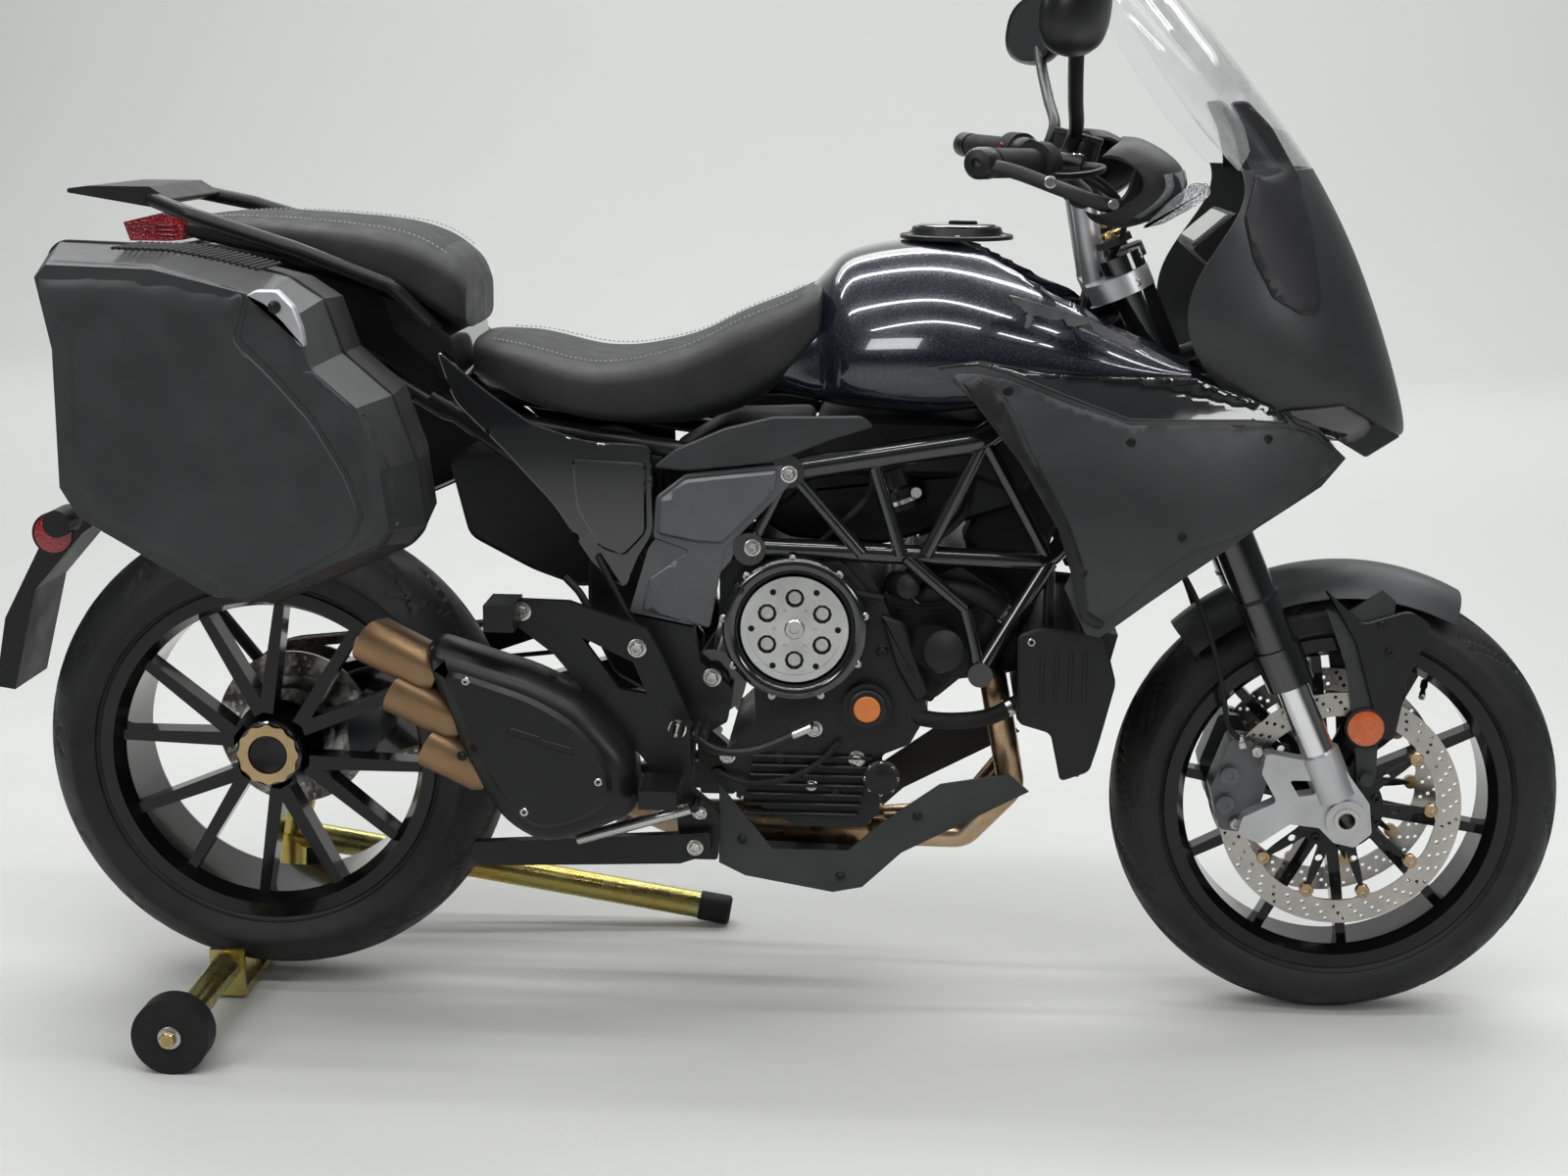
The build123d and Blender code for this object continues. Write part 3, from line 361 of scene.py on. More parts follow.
LOOK_OF_NODES = {
    "front_tyre": "front_tyre", "rear_tyre": "rear_tyre", "rim": "front_rim rear_rim",
    "front_disc": "front_discs", "rear_disc": "rear_disc", "nut": "rear_axle_nut",
    "steel": "front_axle_tube rear_sprocket shock centre_stand_spring",
    "silver": "fork_feet triple_clamps", "chrome": "fork_inner", "clutch": "clutch_plate",
    "gloss": "fork_outer tail_cowl", "rubber": "grips stand_wheel_right stand_wheel_left",
    "satin": "disc_carriers handlebar pivot_plates subframe radiator silencer fuel_cap "
             "grab_rail footrests centre_stand side_stand",
    "plastic": "handguards mirrors dashboard plate_hanger rear_lights pannier_boxes",
    "grey": "front_fender belly_pan side_fairings nose_fairing pannier_lid_right "
            "pannier_lid_left",
    "cast": "front_calipers side_plates rear_caliper", "frame": "frame swingarm",
    "engine": "crankcase cylinder_block", "heat": "exhaust_headers", "bronze": "exhaust_tips",
    "flake": "fuel_tank", "leather": "rider_seat", "pressed": "pillion_seat",
    "red": "tail_lamp", "lamp": "headlamp", "screen": "windscreen", "chain": "chain",
    "zinc": "paddock_stand",
}
for look, nodes in LOOK_OF_NODES.items():
    for node in nodes.split():
        data = NODES[node].data
        data.materials.clear()
        data.materials.append(M[look])
        for face in data.polygons:
            face.material_index = 0


# -------------------- ways of making pieces
def unit(v):
    v = Vector(v)
    return v / v.length


def angles(count):
    """Even angles round a full turn."""
    return [2 * math.pi * k / count for k in range(count)]


def polar(centre, radius, angle):
    """Point (x, z) at an angle on a circle."""
    return centre[0] + radius * math.cos(angle), centre[1] + radius * math.sin(angle)


def power(value, exponent):
    """Power that keeps the sign, for ovals with flatter or rounder sides."""
    return math.copysign(abs(value) ** exponent, value)


def between(a, b, c, d, t):
    """Catmull-Rom value at t from b to c, with the neighbours a and d."""
    return 0.5 * (2 * b + (c - a) * t + (2 * a - 5 * b + 4 * c - d) * t * t
                  + (3 * b - a - 3 * c + d) * t * t * t)


def smooth_path(points, per=8, closed=False):
    """Catmull-Rom line through the points."""
    pts = [Vector(p) for p in points]
    count = len(pts)
    out = []
    for k in range(count if closed else count - 1):
        if closed:
            a, b, c, d = (pts[(k + s) % count] for s in (-1, 0, 1, 2))
        else:
            b, c = pts[k], pts[k + 1]
            a = pts[k - 1] if k else b * 2 - c
            d = pts[k + 2] if k + 2 < count else c * 2 - b
        out.extend(between(a, b, c, d, step / per) for step in range(per))
    if not closed:
        out.append(pts[-1])
    return out


def filleted(outline, radius):
    """Closed 2-D outline with its corners rounded."""
    pts = [Vector(p) for p in outline]
    out = []
    for k, here in enumerate(pts):
        before, after = pts[k - 1], pts[(k + 1) % len(pts)]
        cut_a = min(radius, 0.45 * (before - here).length)
        cut_b = min(radius, 0.45 * (after - here).length)
        a = here + (before - here).normalized() * cut_a
        b = here + (after - here).normalized() * cut_b
        if cut_a < 0.3 or cut_b < 0.3:
            out.append(here)
            continue
        for t in (0.0, 0.25, 0.5, 0.75, 1.0):
            out.append(a * (1 - t) ** 2 + here * 2 * t * (1 - t) + b * t * t)
    return out


def resampled(line, step, closed=True):
    """Same line with points about a step apart, its own corners kept."""
    out = []
    count = len(line)
    for k in range(count if closed else count - 1):
        a, b = line[k], line[(k + 1) % count]
        parts = max(1, int((b - a).length / step))
        out.extend(a + (b - a) * (s / parts) for s in range(parts))
    if not closed:
        out.append(line[-1])
    return out


def anticlockwise(line):
    """The closed line, reversed where it runs clockwise."""
    if sum(a.x * b.y - b.x * a.y for a, b in zip([line[-1]] + line[:-1], line)) < 0:
        line.reverse()
    return line


def inward(line, span=1):
    """Directions into a closed anticlockwise line, one for each of its points."""
    out = []
    for k in range(len(line)):
        way = line[(k + span) % len(line)] - line[k - span]
        way = way.normalized() if way.length > 1e-6 else Vector((1, 0))
        out.append(Vector((-way.y, way.x)))
    return out


class Batch:
    """Mesh in the making, in millimetres, with one or more looks."""

    def __init__(self, name, looks, body="chassis"):
        self.name, self.body = name, body
        self.looks = (looks,) if isinstance(looks, str) else tuple(looks)
        self.verts, self.faces, self.index = [], [], []

    def add(self, verts, faces, look=0):
        """Points and the faces over them, all in one look."""
        base = len(self.verts)
        self.verts.extend(Vector(v) for v in verts)
        self.faces.extend(tuple(base + k for k in face) for face in faces)
        self.index.extend([look] * len(faces))

    def rings(self, rings, look=0, caps=True, wrap=False):
        """Skin over rings that have the same number of points each."""
        size, count = len(rings[0]), len(rings)
        faces = []
        for k in range(count if wrap else count - 1):
            for s in range(size):
                t = (s + 1) % size
                n = (k + 1) % count
                faces.append((k * size + s, k * size + t, n * size + t, n * size + s))
        if caps and not wrap:
            faces.append(tuple(reversed(range(size))))
            faces.append(tuple((count - 1) * size + s for s in range(size)))
        self.add([p for ring in rings for p in ring], faces, look)

    def turned(self, at, along, profile, steps=24, look=0, wrap=False):
        """Profile of (radius, height) points turned about a line."""
        n = unit(along)
        u = n.orthogonal().normalized()
        v = n.cross(u)
        at = Vector(at)
        rings = [[at + n * h + (u * math.cos(a) + v * math.sin(a)) * max(r, 0.01)
                  for a in angles(steps)] for r, h in profile]
        self.rings(rings, look, caps=not wrap, wrap=wrap)

    def tube(self, points, radius, steps=10, look=0, closed=False, flat=1.0):
        """Round tube along the points; flat below 1 makes it oval."""
        pts = [Vector(p) for p in points]
        count = len(pts)
        rings = []
        normal = None
        for k, p in enumerate(pts):
            if closed:
                way = pts[(k + 1) % count] - pts[k - 1]
            else:
                way = pts[min(k + 1, count - 1)] - pts[max(k - 1, 0)]
            way.normalize()
            if normal is None:
                normal = way.orthogonal().normalized()
            else:
                normal = (normal - way * normal.dot(way)).normalized()
            side = way.cross(normal)
            rings.append([p + normal * radius * math.cos(a) + side * radius * flat * math.sin(a)
                          for a in angles(steps)])
        self.rings(rings, look, wrap=closed)

    def plate(self, outline, y_low, y_high, bevel=0.8, look=0, corner=0.0, at=None):
        """Bevelled plate with a side-view outline, or one in the plane at = (origin, u, v)."""
        line = anticlockwise(filleted(outline, corner) if corner else [Vector(p) for p in outline])
        inner = [p + n * bevel for p, n in zip(line, inward(line))]
        origin, u, v = at or (Vector((0, 0, 0)), Vector((1, 0, 0)), Vector((0, 0, 1)))
        origin, u, v = Vector(origin), unit(u), unit(v)
        n = Vector((0, 1, 0)) if at is None else u.cross(v)
        rings = []
        for shape, height in ((inner, y_low), (line, y_low + bevel), (line, y_high - bevel),
                              (inner, y_high)):
            rings.append([origin + u * p.x + v * p.y + n * height for p in shape])
        self.rings(rings, look)

    def side_plate(self, outline, side, near, far, *more):
        """Plate between two distances from the middle plane, on one side of the machine."""
        self.plate(outline, *sorted((side * near, side * far)), *more)

    def done(self, sharp=40.0, replaced=(), subdivide=0):
        """Object of the mesh, riding on its body."""
        data = bpy.data.meshes.new(self.name)
        data.from_pydata([tuple(v * MM) for v in self.verts], [], self.faces)
        made = bpy.data.objects.new(self.name, data)
        scene.collection.objects.link(made)
        for look in self.looks:
            data.materials.append(M[look])
        work = bmesh.new()
        work.from_mesh(data)
        for face, index in zip(work.faces, self.index):
            face.material_index = index
            face.smooth = True
        bmesh.ops.recalc_face_normals(work, faces=work.faces)
        work.to_mesh(data)
        work.free()
        if sharp:
            data.set_sharp_from_angle(angle=math.radians(sharp))
        if subdivide:
            grown = made.modifiers.new("subdivide", "SUBSURF")
            grown.levels = grown.render_levels = subdivide
        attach(made, self.body)
        if replaced:
            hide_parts(*replaced)
        return made


def bolt_profile(radius, h, socket=True):
    """Profile of a bolt head or, without a socket, of a nut."""
    if socket:
        return [(radius, -1), (radius, h - radius * 0.18), (radius * 0.84, h), (radius * 0.56, h),
                (radius * 0.50, h * 0.45), (0, h * 0.40)]
    return [(radius, -1), (radius, h * 0.5), (radius * 0.72, h * 0.88), (0, h)]


def tree_of(*nodes):
    """Search tree over the solids of CAD nodes, in millimetres."""
    verts, faces = [], []
    for node in nodes:
        data = NODES[node].data
        base = len(verts)
        verts.extend(v.co * 1000 for v in data.vertices)
        faces.extend(tuple(base + k for k in face.vertices) for face in data.polygons)
    return BVHTree.FromPolygons(verts, faces)


def inside(point, line):
    """Whether a flat point lies inside a closed line."""
    hit = False
    for k in range(len(line)):
        a, b = line[k - 1], line[k]
        if (a.y > point.y) != (b.y > point.y):
            if point.x < (b.x - a.x) * (point.y - a.y) / (b.y - a.y) + a.x:
                hit = not hit
    return hit


def skin(batch, outline, cast, lift=0.9, thick=3.0, step=10.0, corner=5.0, edge=1.0, relax=6,
         look=0):
    """Panel with a flat outline laid on a surface: cast(u, v) gives (point, outward) or None."""
    line = anticlockwise(resampled(filleted(outline, corner), step))
    edge_width, grid_clear, row_gap, pull = 1.3, 0.55, 0.87, 0.6
    ring = [p + n * edge * edge_width for p, n in zip(line, inward(line))]
    lows = [min(p[k] for p in line) for k in (0, 1)]
    highs = [max(p[k] for p in line) for k in (0, 1)]
    grid = []
    rows = int((highs[1] - lows[1]) / (step * row_gap)) + 1
    for row in range(rows):
        v = lows[1] + (row + 0.5) * step * row_gap
        for col in range(int((highs[0] - lows[0]) / step) + 1):
            p = Vector((lows[0] + (col + 0.5 * (row % 2)) * step, v))
            if inside(p, ring) and min((p - q).length for q in ring) > step * grid_clear:
                grid.append(p)
    count = len(line)
    points = line + ring + grid
    edges = [(k, (k + 1) % count) for k in range(count)]
    verts, _, faces, origin, _, _ = delaunay_2d_cdt(points, edges, [], 1, 1e-5)
    first = [source[0] if source else None for source in origin]
    kind = [0 if s is not None and s < count else 1 for s in first]
    spots = [cast(p.x, p.y) for p in verts]
    known = [k for k, s in enumerate(spots) if s is not None]
    if not known:
        raise ValueError(batch.name)
    for k, s in enumerate(spots):
        if s is None:
            near = min(known, key=lambda j: (verts[j] - verts[k]).length_squared)
            base, out = spots[near]
            spots[k] = (base + cast.flat(*(verts[k] - verts[near])), out)
    heights = [(s[0] - cast.flat(p.x, p.y)).dot(cast.out) for s, p in zip(spots, verts)]
    links = [set() for _ in verts]
    for face in faces:
        for a, b in zip(face, face[1:] + face[:1]):
            links[a].add(b)
            links[b].add(a)
    for _ in range(relax):
        heights = [h * (1 - pull) + pull * sum(heights[j] for j in near) / len(near) if near else h
                   for h, near in zip(heights, links)]
    top = [cast.flat(p.x, p.y) + cast.out * (h + lift - (edge if k == 0 else 0))
           for p, h, k in zip(verts, heights, kind)]
    under = [cast.flat(p.x, p.y) + cast.out * (h + lift - thick) for p, h in zip(verts, heights)]
    size = len(verts)
    used = dict.fromkeys(pair for face in faces for pair in zip(face, face[1:] + face[:1]))
    rim = [(a, b) for a, b in used if (b, a) not in used]
    batch.add(top + under, list(faces) + [tuple(size + k for k in reversed(face))
                                          for face in faces], look)
    base = len(batch.verts) - 2 * size
    for a, b in rim:
        batch.faces.append((base + b, base + a, base + size + a, base + size + b))
        batch.index.append(look)


class Side:
    """Casts across the machine from its right (-1) or left (+1) side: u is x, v is z."""

    REACH = 600.0

    def __init__(self, tree, side):
        self.tree, self.side, self.out = tree, side, Vector((0, side, 0))

    def flat(self, u, v):
        """Point of the middle plane."""
        return Vector((u, 0, v))

    def __call__(self, u, v):
        start = Vector((u, self.side * self.REACH, v))
        hit = self.tree.ray_cast(start, Vector((0, -self.side, 0)))[0]
        if hit is None or hit.y * self.side < 0:
            return None
        return hit, self.out


# -------------------- tyres
def groove_lines(pitches, reach, lean):
    """Tread grooves as (angle share, sideways mm) lines for one pitch, alternately on each side."""
    lines = []
    for k in range(pitches):
        for side in (-1, 1):
            base = (k + (0.5 if side > 0 else 0.0)) / pitches
            long_one = [(base + lean * t / pitches, side * reach * (0.10 + 0.62 * t + 0.10 * t * t))
                        for t in (0.0, 0.2, 0.4, 0.6, 0.8, 1.0)]
            short_one = [(base + (0.52 + 0.55 * t) / pitches, side * reach * (0.48 + 0.40 * t))
                         for t in (0.0, 0.5, 1.0)]
            lines.append((long_one, 2.9))
            lines.append((short_one, 2.3))
    return lines


def tyre_piece(name, node, body, axle, radius, half, drop, bead_half, lean):
    """Tyre with grooves cut in its tread, ribs round its bead and a shoulder edge."""
    around = 640
    seat, pitches, groove_depth = BEAD_SEAT, 14, 3.6
    crown_r = (half * half + drop * drop) / (2 * drop)
    section = []
    tread = 44
    for k in range(tread + 1):
        y = half * math.sin((k / tread - 0.5) * math.pi * 0.98) / math.sin(0.49 * math.pi)
        section.append((y, radius - (crown_r - math.sqrt(crown_r * crown_r - y * y))))
    edge_r = section[-1][1]
    wall = [(half * 1.002, edge_r - 4), (half * 0.985, edge_r - 10), (half * 0.955, edge_r - 17),
            (half * 0.90, seat + 20), (half * 0.90 + 1.0, seat + 18.4), (half * 0.87, seat + 17),
            (bead_half + 3.6, seat + 11.5), (bead_half + 4.2, seat + 9.6),
            (bead_half + 2.6, seat + 8.2), (bead_half + 1.0, seat + 4), (bead_half - 1, seat + 0.6),
            (bead_half - 9, seat + 0.5), (bead_half - 8, seat + 12), (half * 0.84, edge_r - 14)]
    inner = [(half * 0.62, radius - drop * 0.42 - 11), (0.0, radius - 12)]
    right = [(-y, r) for y, r in wall]
    ring = section + wall + inner + [(-half * 0.62, radius - drop * 0.42 - 11)] + right[::-1]
    girth = 2 * math.pi * radius
    ys = np.array([p[0] for p in section])
    angle = np.arange(around) / around
    depth = np.zeros((around, len(ys)))
    for line, width in groove_lines(pitches, half, lean):
        for (a0, y0), (a1, y1) in zip(line[:-1], line[1:]):
            shift = np.mod(angle - a0 + 0.5, 1.0) - 0.5
            px, py = shift[:, None] * girth, ys[None, :] - y0
            dx, dy = (a1 - a0) * girth, y1 - y0
            t = np.clip((px * dx + py * dy) / (dx * dx + dy * dy), 0, 1)
            away = np.hypot(px - t * dx, py - t * dy)
            depth = np.maximum(depth, np.clip((width - away) / 0.9, 0, 1))
    made = Batch(name, node, body)
    rings = []
    for k in range(around):
        turn = 2 * math.pi * k / around
        way = Vector((math.cos(turn), 0, math.sin(turn)))
        row = []
        for s, (y, r) in enumerate(ring):
            cut = groove_depth * depth[k, s] if s < len(ys) else 0.0
            row.append(Vector((axle[0], y, axle[1])) + way * (r - cut))
        rings.append(row)
    made.rings(rings, wrap=True)
    return made.done(sharp=32, replaced=(node,))


# -------------------- bodywork
def fairing_pieces():
    """Painted panels over both side fairings, with shut lines between them."""
    tree = tree_of("side_fairings")
    main = [(262, 892), (300, 886), (400, 850), (450, 833), (600, 829), (660, 824), (688, 814),
            (722, 786), (716, 772), (640, 716), (600, 694), (525, 672), (488, 644), (440, 594),
            (420, 578), (404, 588), (396, 612), (388, 660), (368, 708), (322, 784), (272, 844),
            (232, 882), (236, 892)]
    band = [(212, 897), (262, 903), (300, 894), (402, 856), (450, 839), (600, 835), (654, 830),
            (640, 846), (602, 862), (560, 876), (533, 888), (440, 890), (350, 893), (266, 906)]
    strip = [(540, 890), (562, 880), (606, 866), (642, 850), (664, 828), (692, 818), (718, 796),
             (690, 826), (668, 852), (644, 874), (604, 890)]
    for side, word in SIDES:
        cast = Side(tree, side)
        made = Batch("fairing_panels_" + word, ("grey", "gloss", "plastic"))
        skin(made, main, cast, lift=4.0, thick=4.2, step=9, corner=7, relax=1, edge=1.6, look=0)
        skin(made, band, cast, lift=3.4, thick=3.6, step=6, corner=3, relax=0, edge=1.2, look=1)
        skin(made, strip, cast, lift=4.0, thick=4.2, step=6, corner=3, relax=0, edge=1.2, look=0)
        made.done(sharp=38)
        bolts = Batch("fairing_bolts_" + word, "satin")
        for x, z in ((300, 872), (452, 812), (626, 812), (520, 694), (398, 650)):
            spot = cast(x, z)
            if spot:
                bolts.turned(spot[0] + Vector((0, side * 3.8, 0)), (0, side, 0),
                             bolt_profile(6.0, 2.4), 20)
        bolts.done()


def tank_shell():
    """Tank with soft shoulders, scooped round the fork's sweep; returns its search tree."""
    scoop, scoop_behind = 152, 25
    cap_sizes = (0.98, 0.94, 0.9, 0.86, 0.82, 0.78, 0.74, 0.7, 0.66, 0.6, 0.54, 0.46, 0.36,
                 0.24, 0.12, 0.02)
    rows = ((-24, ((0, 838), (60, 842), (84, 870), (74, 896), (40, 912), (0, 916))),
            (20, ((0, 838), (92, 848), (116, 884), (102, 920), (56, 942), (0, 948))),
            (64, ((0, 832), (108, 844), (122, 892), (112, 944), (68, 984), (0, 998))),
            (104, ((0, 826), (126, 840), (162, 892), (138, 962), (80, 1014), (0, 1029))),
            (210, ((0, 820), (150, 838), (196, 892), (172, 972), (98, 1030), (0, 1045))),
            (330, ((0, 842), (160, 852), (206, 890), (184, 952), (104, 1010), (0, 1031))),
            (430, ((0, 862), (160, 866), (208, 884), (188, 926), (116, 968), (0, 987))),
            (525, ((0, 880), (150, 880), (200, 888), (180, 902), (104, 914), (0, 922))))
    rings = []
    for x, half in rows:
        line = [Vector((y, z)) for y, z in half]
        closed = line + [Vector((-p.x, p.y)) for p in reversed(line[1:-1])]
        rings.append([Vector((x, p.x, p.y)) for p in smooth_path(closed, 8, closed=True)])
    lanes = [smooth_path([ring[k] for ring in rings], 8) for k in range(len(rings[0]))]
    rings = [[lane[k] for lane in lanes] for k in range(len(lanes[0]))]
    for end, at_back in ((rings[0], False), (rings[-1], True)):
        middle = sum(end, Vector()) / len(end)
        caps = [[middle + (p - middle) * grow for p in end] for grow in cap_sizes]
        rings = rings + caps if at_back else caps[::-1] + rings
    for ring in rings:
        for p in ring:
            axis = FRONT_AXLE[0] - (p.z - FRONT_AXLE[1]) * math.tan(RAKE)
            axis -= scoop_behind / math.cos(RAKE)
            if abs(p.y) < scoop:
                p.x = min(p.x, axis - math.sqrt(scoop ** 2 - p.y ** 2) / math.cos(RAKE))
    made = Batch("tank_shell", "flake")
    made.rings(rings)
    tree = BVHTree.FromPolygons(made.verts, made.faces)
    made.done(sharp=42, replaced=("fuel_tank",))
    return tree


def tank_pieces():
    """Tank, its matte inlays, the filler's bolted ring and the cap's trim."""
    tree = tank_shell()
    inlay = [(300, 985), (318, 950), (345, 905), (380, 901), (525, 897), (470, 925), (400, 958)]
    for side, word in SIDES:
        made = Batch("tank_inlay_" + word, "grey")
        skin(made, inlay, Side(tree, side), lift=0.7, thick=1.6, step=9, corner=3, relax=5,
             edge=0.5)
        made.done(sharp=38)
    ring = Batch("filler_ring", ("satin", "steel"))
    centre = Vector((*FILLER, 1047))
    rim = [(74, -3), (74, 1.5), (72.5, 2.6), (64.5, 2.6), (63.6, 1.6), (63.6, -3)]
    ring.turned(centre, (0, 0, 1), rim, 64, wrap=True)
    for k in range(6):
        angle = 2 * math.pi * (k + 0.5) / 6
        at = centre + Vector((69 * math.cos(angle), 69 * math.sin(angle), 2.4))
        ring.turned(at, (0, 0, 1), bolt_profile(3.2, 1.8), 16, look=1)
    ring.done()
    cap = Batch("filler_cap_trim", ("gloss", "steel"), "fuel_cap")
    cap.turned((*FILLER, 1059), (0, 0, 1), [(52, -1), (52, 2), (49, 3.6), (30, 4.4), (0, 4.8)], 48)
    cap.plate([(-19, -8), (19, -8), (19, 8), (-19, 8)], 3.6, 8.0, 1.2, 0, 4,
              ((244, 0, 1059), (1, 0, 0), (0, 1, 0)))
    cap.turned((233, 0, 1066), (0, 0, 1), [(5.4, 0), (5.4, 1.4), (4.4, 1.8), (0, 1.8)], 24, look=1)
    cap.done()


# -------------------- seats
def seat_ring(x, low, high, half, crown):
    """Ring across a seat: flat floor, soft sides and a crowned top."""
    out = []
    middle, rise = (low + high) / 2, (high - low) / 2
    squareness = 2.0 / 4.2
    for a in angles(44):
        c, s = math.cos(a - math.pi / 2), math.sin(a - math.pi / 2)
        y, z = half * power(c, squareness), rise * power(s, squareness)
        if s > 0:
            z += crown * (1 - (y / half) ** 2) * s
        out.append(Vector((x, y, middle + z)))
    return out


def cushion(name, node, rows):
    """Seat grown over its rows, its pressed cover on top and smooth sides, with sewn edges."""
    crown, fold_depth, fill, end_round, cover_share = 6, 2.5, 0.6, 14.0, 0.74
    back, front = rows[0][0], rows[-1][0]
    made = Batch(name, ("leather", "pressed"))
    steps = 6
    fine = []
    for k in range(len(rows) - 1):
        four = (rows[max(k - 1, 0)], rows[k], rows[k + 1], rows[min(k + 2, len(rows) - 1)])
        for s in range(steps):
            fine.append(tuple(between(*values, s / steps) for values in zip(*four)))
    fine.append(tuple(rows[-1]))
    rings = []
    for x, low, high, half in fine:
        end = min((x - back) / end_round, (front - x) / end_round, 1.0)
        rings.append(seat_ring(x, low, high, half, crown * max(0.0, end)))
    made.rings(rings, 0)
    for k, face in enumerate(made.faces):
        if len(face) == 4:
            centre = sum((made.verts[i] for i in face), Vector()) / 4
            row = min(fine, key=lambda r: abs(r[0] - centre.x))
            on_top = centre.z > row[2] - 16 and abs(centre.y) < row[3] * cover_share
            if on_top and back + 26 < centre.x < front - 30:
                made.index[k] = 1
    seat = made.done(sharp=0, replaced=(node,), subdivide=2)
    rough = bpy.data.textures.new(name + "_folds", "CLOUDS")
    rough.noise_scale = 0.09
    rough.noise_depth = 2
    folds = seat.modifiers.new("folds", "DISPLACE")
    folds.texture = rough
    folds.texture_coords = "LOCAL"
    folds.strength = fold_depth * MM
    folds.mid_level = 0.5
    stitch = Batch(name + "_stitching", "thread")
    line_at, pitch, length = 0.75, 6.5, 4.2
    dip = Vector((0, 0, 0.9))
    for side in (-1, 1):
        path = [Vector((x, side * (half * line_at), high + crown * (1 - line_at ** 2) + 1.1))
                for x, _, high, half in fine if back + 20 < x < front - 24]
        line = resampled(smooth_path(path, 4), 7.0, closed=False)
        dense = resampled(line, 1.0, closed=False)
        travel, run, here = 0.0, [], dense[0]
        for p in dense:
            travel += (p - here).length
            here = p
            if travel % pitch < length:
                run.append(p)
            elif len(run) > 1:
                mid = run[len(run) // 2] + Vector((0, 0, 0.5))
                stitch.tube([run[0] - dip, mid, run[-1] - dip], 0.75, 6)
                run = []
    stitch.done()


# -------------------- panniers
def pannier_pieces():
    """Panels and latches on the case lids, and the seals and ribs of the case bodies."""
    face = [(-826, 1022), (-818, 1034), (-700, 1030), (-590, 1002), (-585, 990), (-600, 944),
            (-560, 906), (-512, 852), (-474, 788), (-458, 742), (-470, 708), (-592, 640),
            (-640, 640), (-800, 736), (-818, 768), (-820, 940)]
    front = [(-580, 990), (-545, 986), (-526, 962), (-506, 908), (-450, 858), (-424, 790),
             (-416, 730), (-430, 704), (-588, 630), (-600, 632), (-470, 704), (-454, 742),
             (-470, 790), (-508, 856), (-556, 912), (-592, 946)]
    for side, word in SIDES:
        lid = "pannier_lid_" + word
        cast = Side(tree_of(lid), side)
        made = Batch("pannier_skin_" + word, ("grey", "dark_grey"), "lid_" + word)
        skin(made, face, cast, lift=2.2, thick=3.0, step=12, corner=12, relax=3, edge=1.4, look=0)
        skin(made, front, cast, lift=1.6, thick=2.6, step=9, corner=4, relax=3, edge=1.2, look=0)
        made.done(sharp=36)
        latch = Batch("pannier_latch_" + word, ("silver", "satin"), "lid_" + word)
        plate = [(-582, 996), (-570, 1003), (-545, 1003), (-527, 985), (-518, 960), (-515, 938),
                 (-522, 940), (-540, 965), (-560, 985)]
        latch.side_plate(plate, side, 438, 454, 2.2, 0, 3)
        latch.turned((-548, side * 454, 984), (0, side, 0),
                     [(7.5, -1), (7.5, 1.2), (6.4, 2.0), (0, 2.0)], 28, look=1)
        latch.done()
        trim = Batch("pannier_trim_" + word, ("rubber", "satin", "steel"))
        seal = [(-852, 1032), (-836, 1048), (-700, 1044), (-560, 1010), (-520, 984), (-498, 920),
                (-440, 870), (-412, 790), (-402, 712), (-420, 690), (-592, 612), (-644, 622),
                (-812, 722), (-834, 760), (-834, 940)]
        seal = resampled(filleted(seal, 11), 12)
        trim.tube([(x, side * 338.2, z) for x, z in seal], 2.6, 8, closed=True)
        for k in range(24):
            t = k / 23
            x = -748 + 168 * t
            z = 1043 - 4 * t - 32 * max(0.0, t - 0.35) ** 1.3
            low, high = sorted((side * 300, side * 420))
            trim.tube([(x, y, z + 2.6) for y in (low + 8, high - 8)], 2.0, 8)
        trim.done()


# -------------------- lamps, reflectors, signals
def round_reflector(batch, at, out, radius):
    """Round lens (look 0) in its ring (look 1)."""
    rim = [(radius, -1), (radius, 3.2), (radius - 1.2, 4.2), (radius - 2.6, 4.4),
           (radius - 2.8, 3.0)]
    dome = [(radius - 2.8, 0), (radius - 3.2, 1.6), (radius * 0.6, 2.6), (0, 3.0)]
    batch.turned(at, out, rim, 40, look=1)
    batch.turned(Vector(at) + unit(out) * 2.6, out, dome, 40, look=0)


def lamp_pieces():
    """Reflectors on the fork and beside the plate, and the bars of the tail lamp."""
    for side, word in SIDES:
        front = Batch("fork_reflector_" + word, ("amber", "plastic"), "steering")
        round_reflector(front, (788, side * 80, 415), (0, side, 0), 27)
        front.done()
        rear = Batch("rear_reflector_" + word, ("red", "plastic"))
        round_reflector(rear, (-939.5, side * 139, 654), (0, side, 0), 28.5)
        rear.done()
    tail = Batch("tail_lamp_lens", ("red", "plastic"))
    for k, z in enumerate((1040.5, 1046.5, 1052.5)):
        bar = [(-778, -74 + k, z), (-806, -74, z), (-840, -54, z - 1), (-854.6, -20, z - 1.6)]
        tail.tube(bar + [(x, -y, height) for x, y, height in reversed(bar)], 2.3, 10)
    tail.done()


# -------------------- panels that stand free of the solids
class Sheet(Side):
    """Panel surface across the machine with its own height y = shape(x, z) on one side."""

    def __init__(self, side, shape):
        super().__init__(None, side)
        self.shape = shape

    def __call__(self, u, v):
        return Vector((u, self.side * self.shape(u, v), v)), self.out


def fork_point(distance, y=0.0, forward=0.0):
    """Point up the fork from the front axle, ahead of the axle's line by forward."""
    return Vector((FRONT_AXLE[0] - distance * math.sin(RAKE) + forward * math.cos(RAKE), y,
                   FRONT_AXLE[1] + distance * math.cos(RAKE) + forward * math.sin(RAKE)))


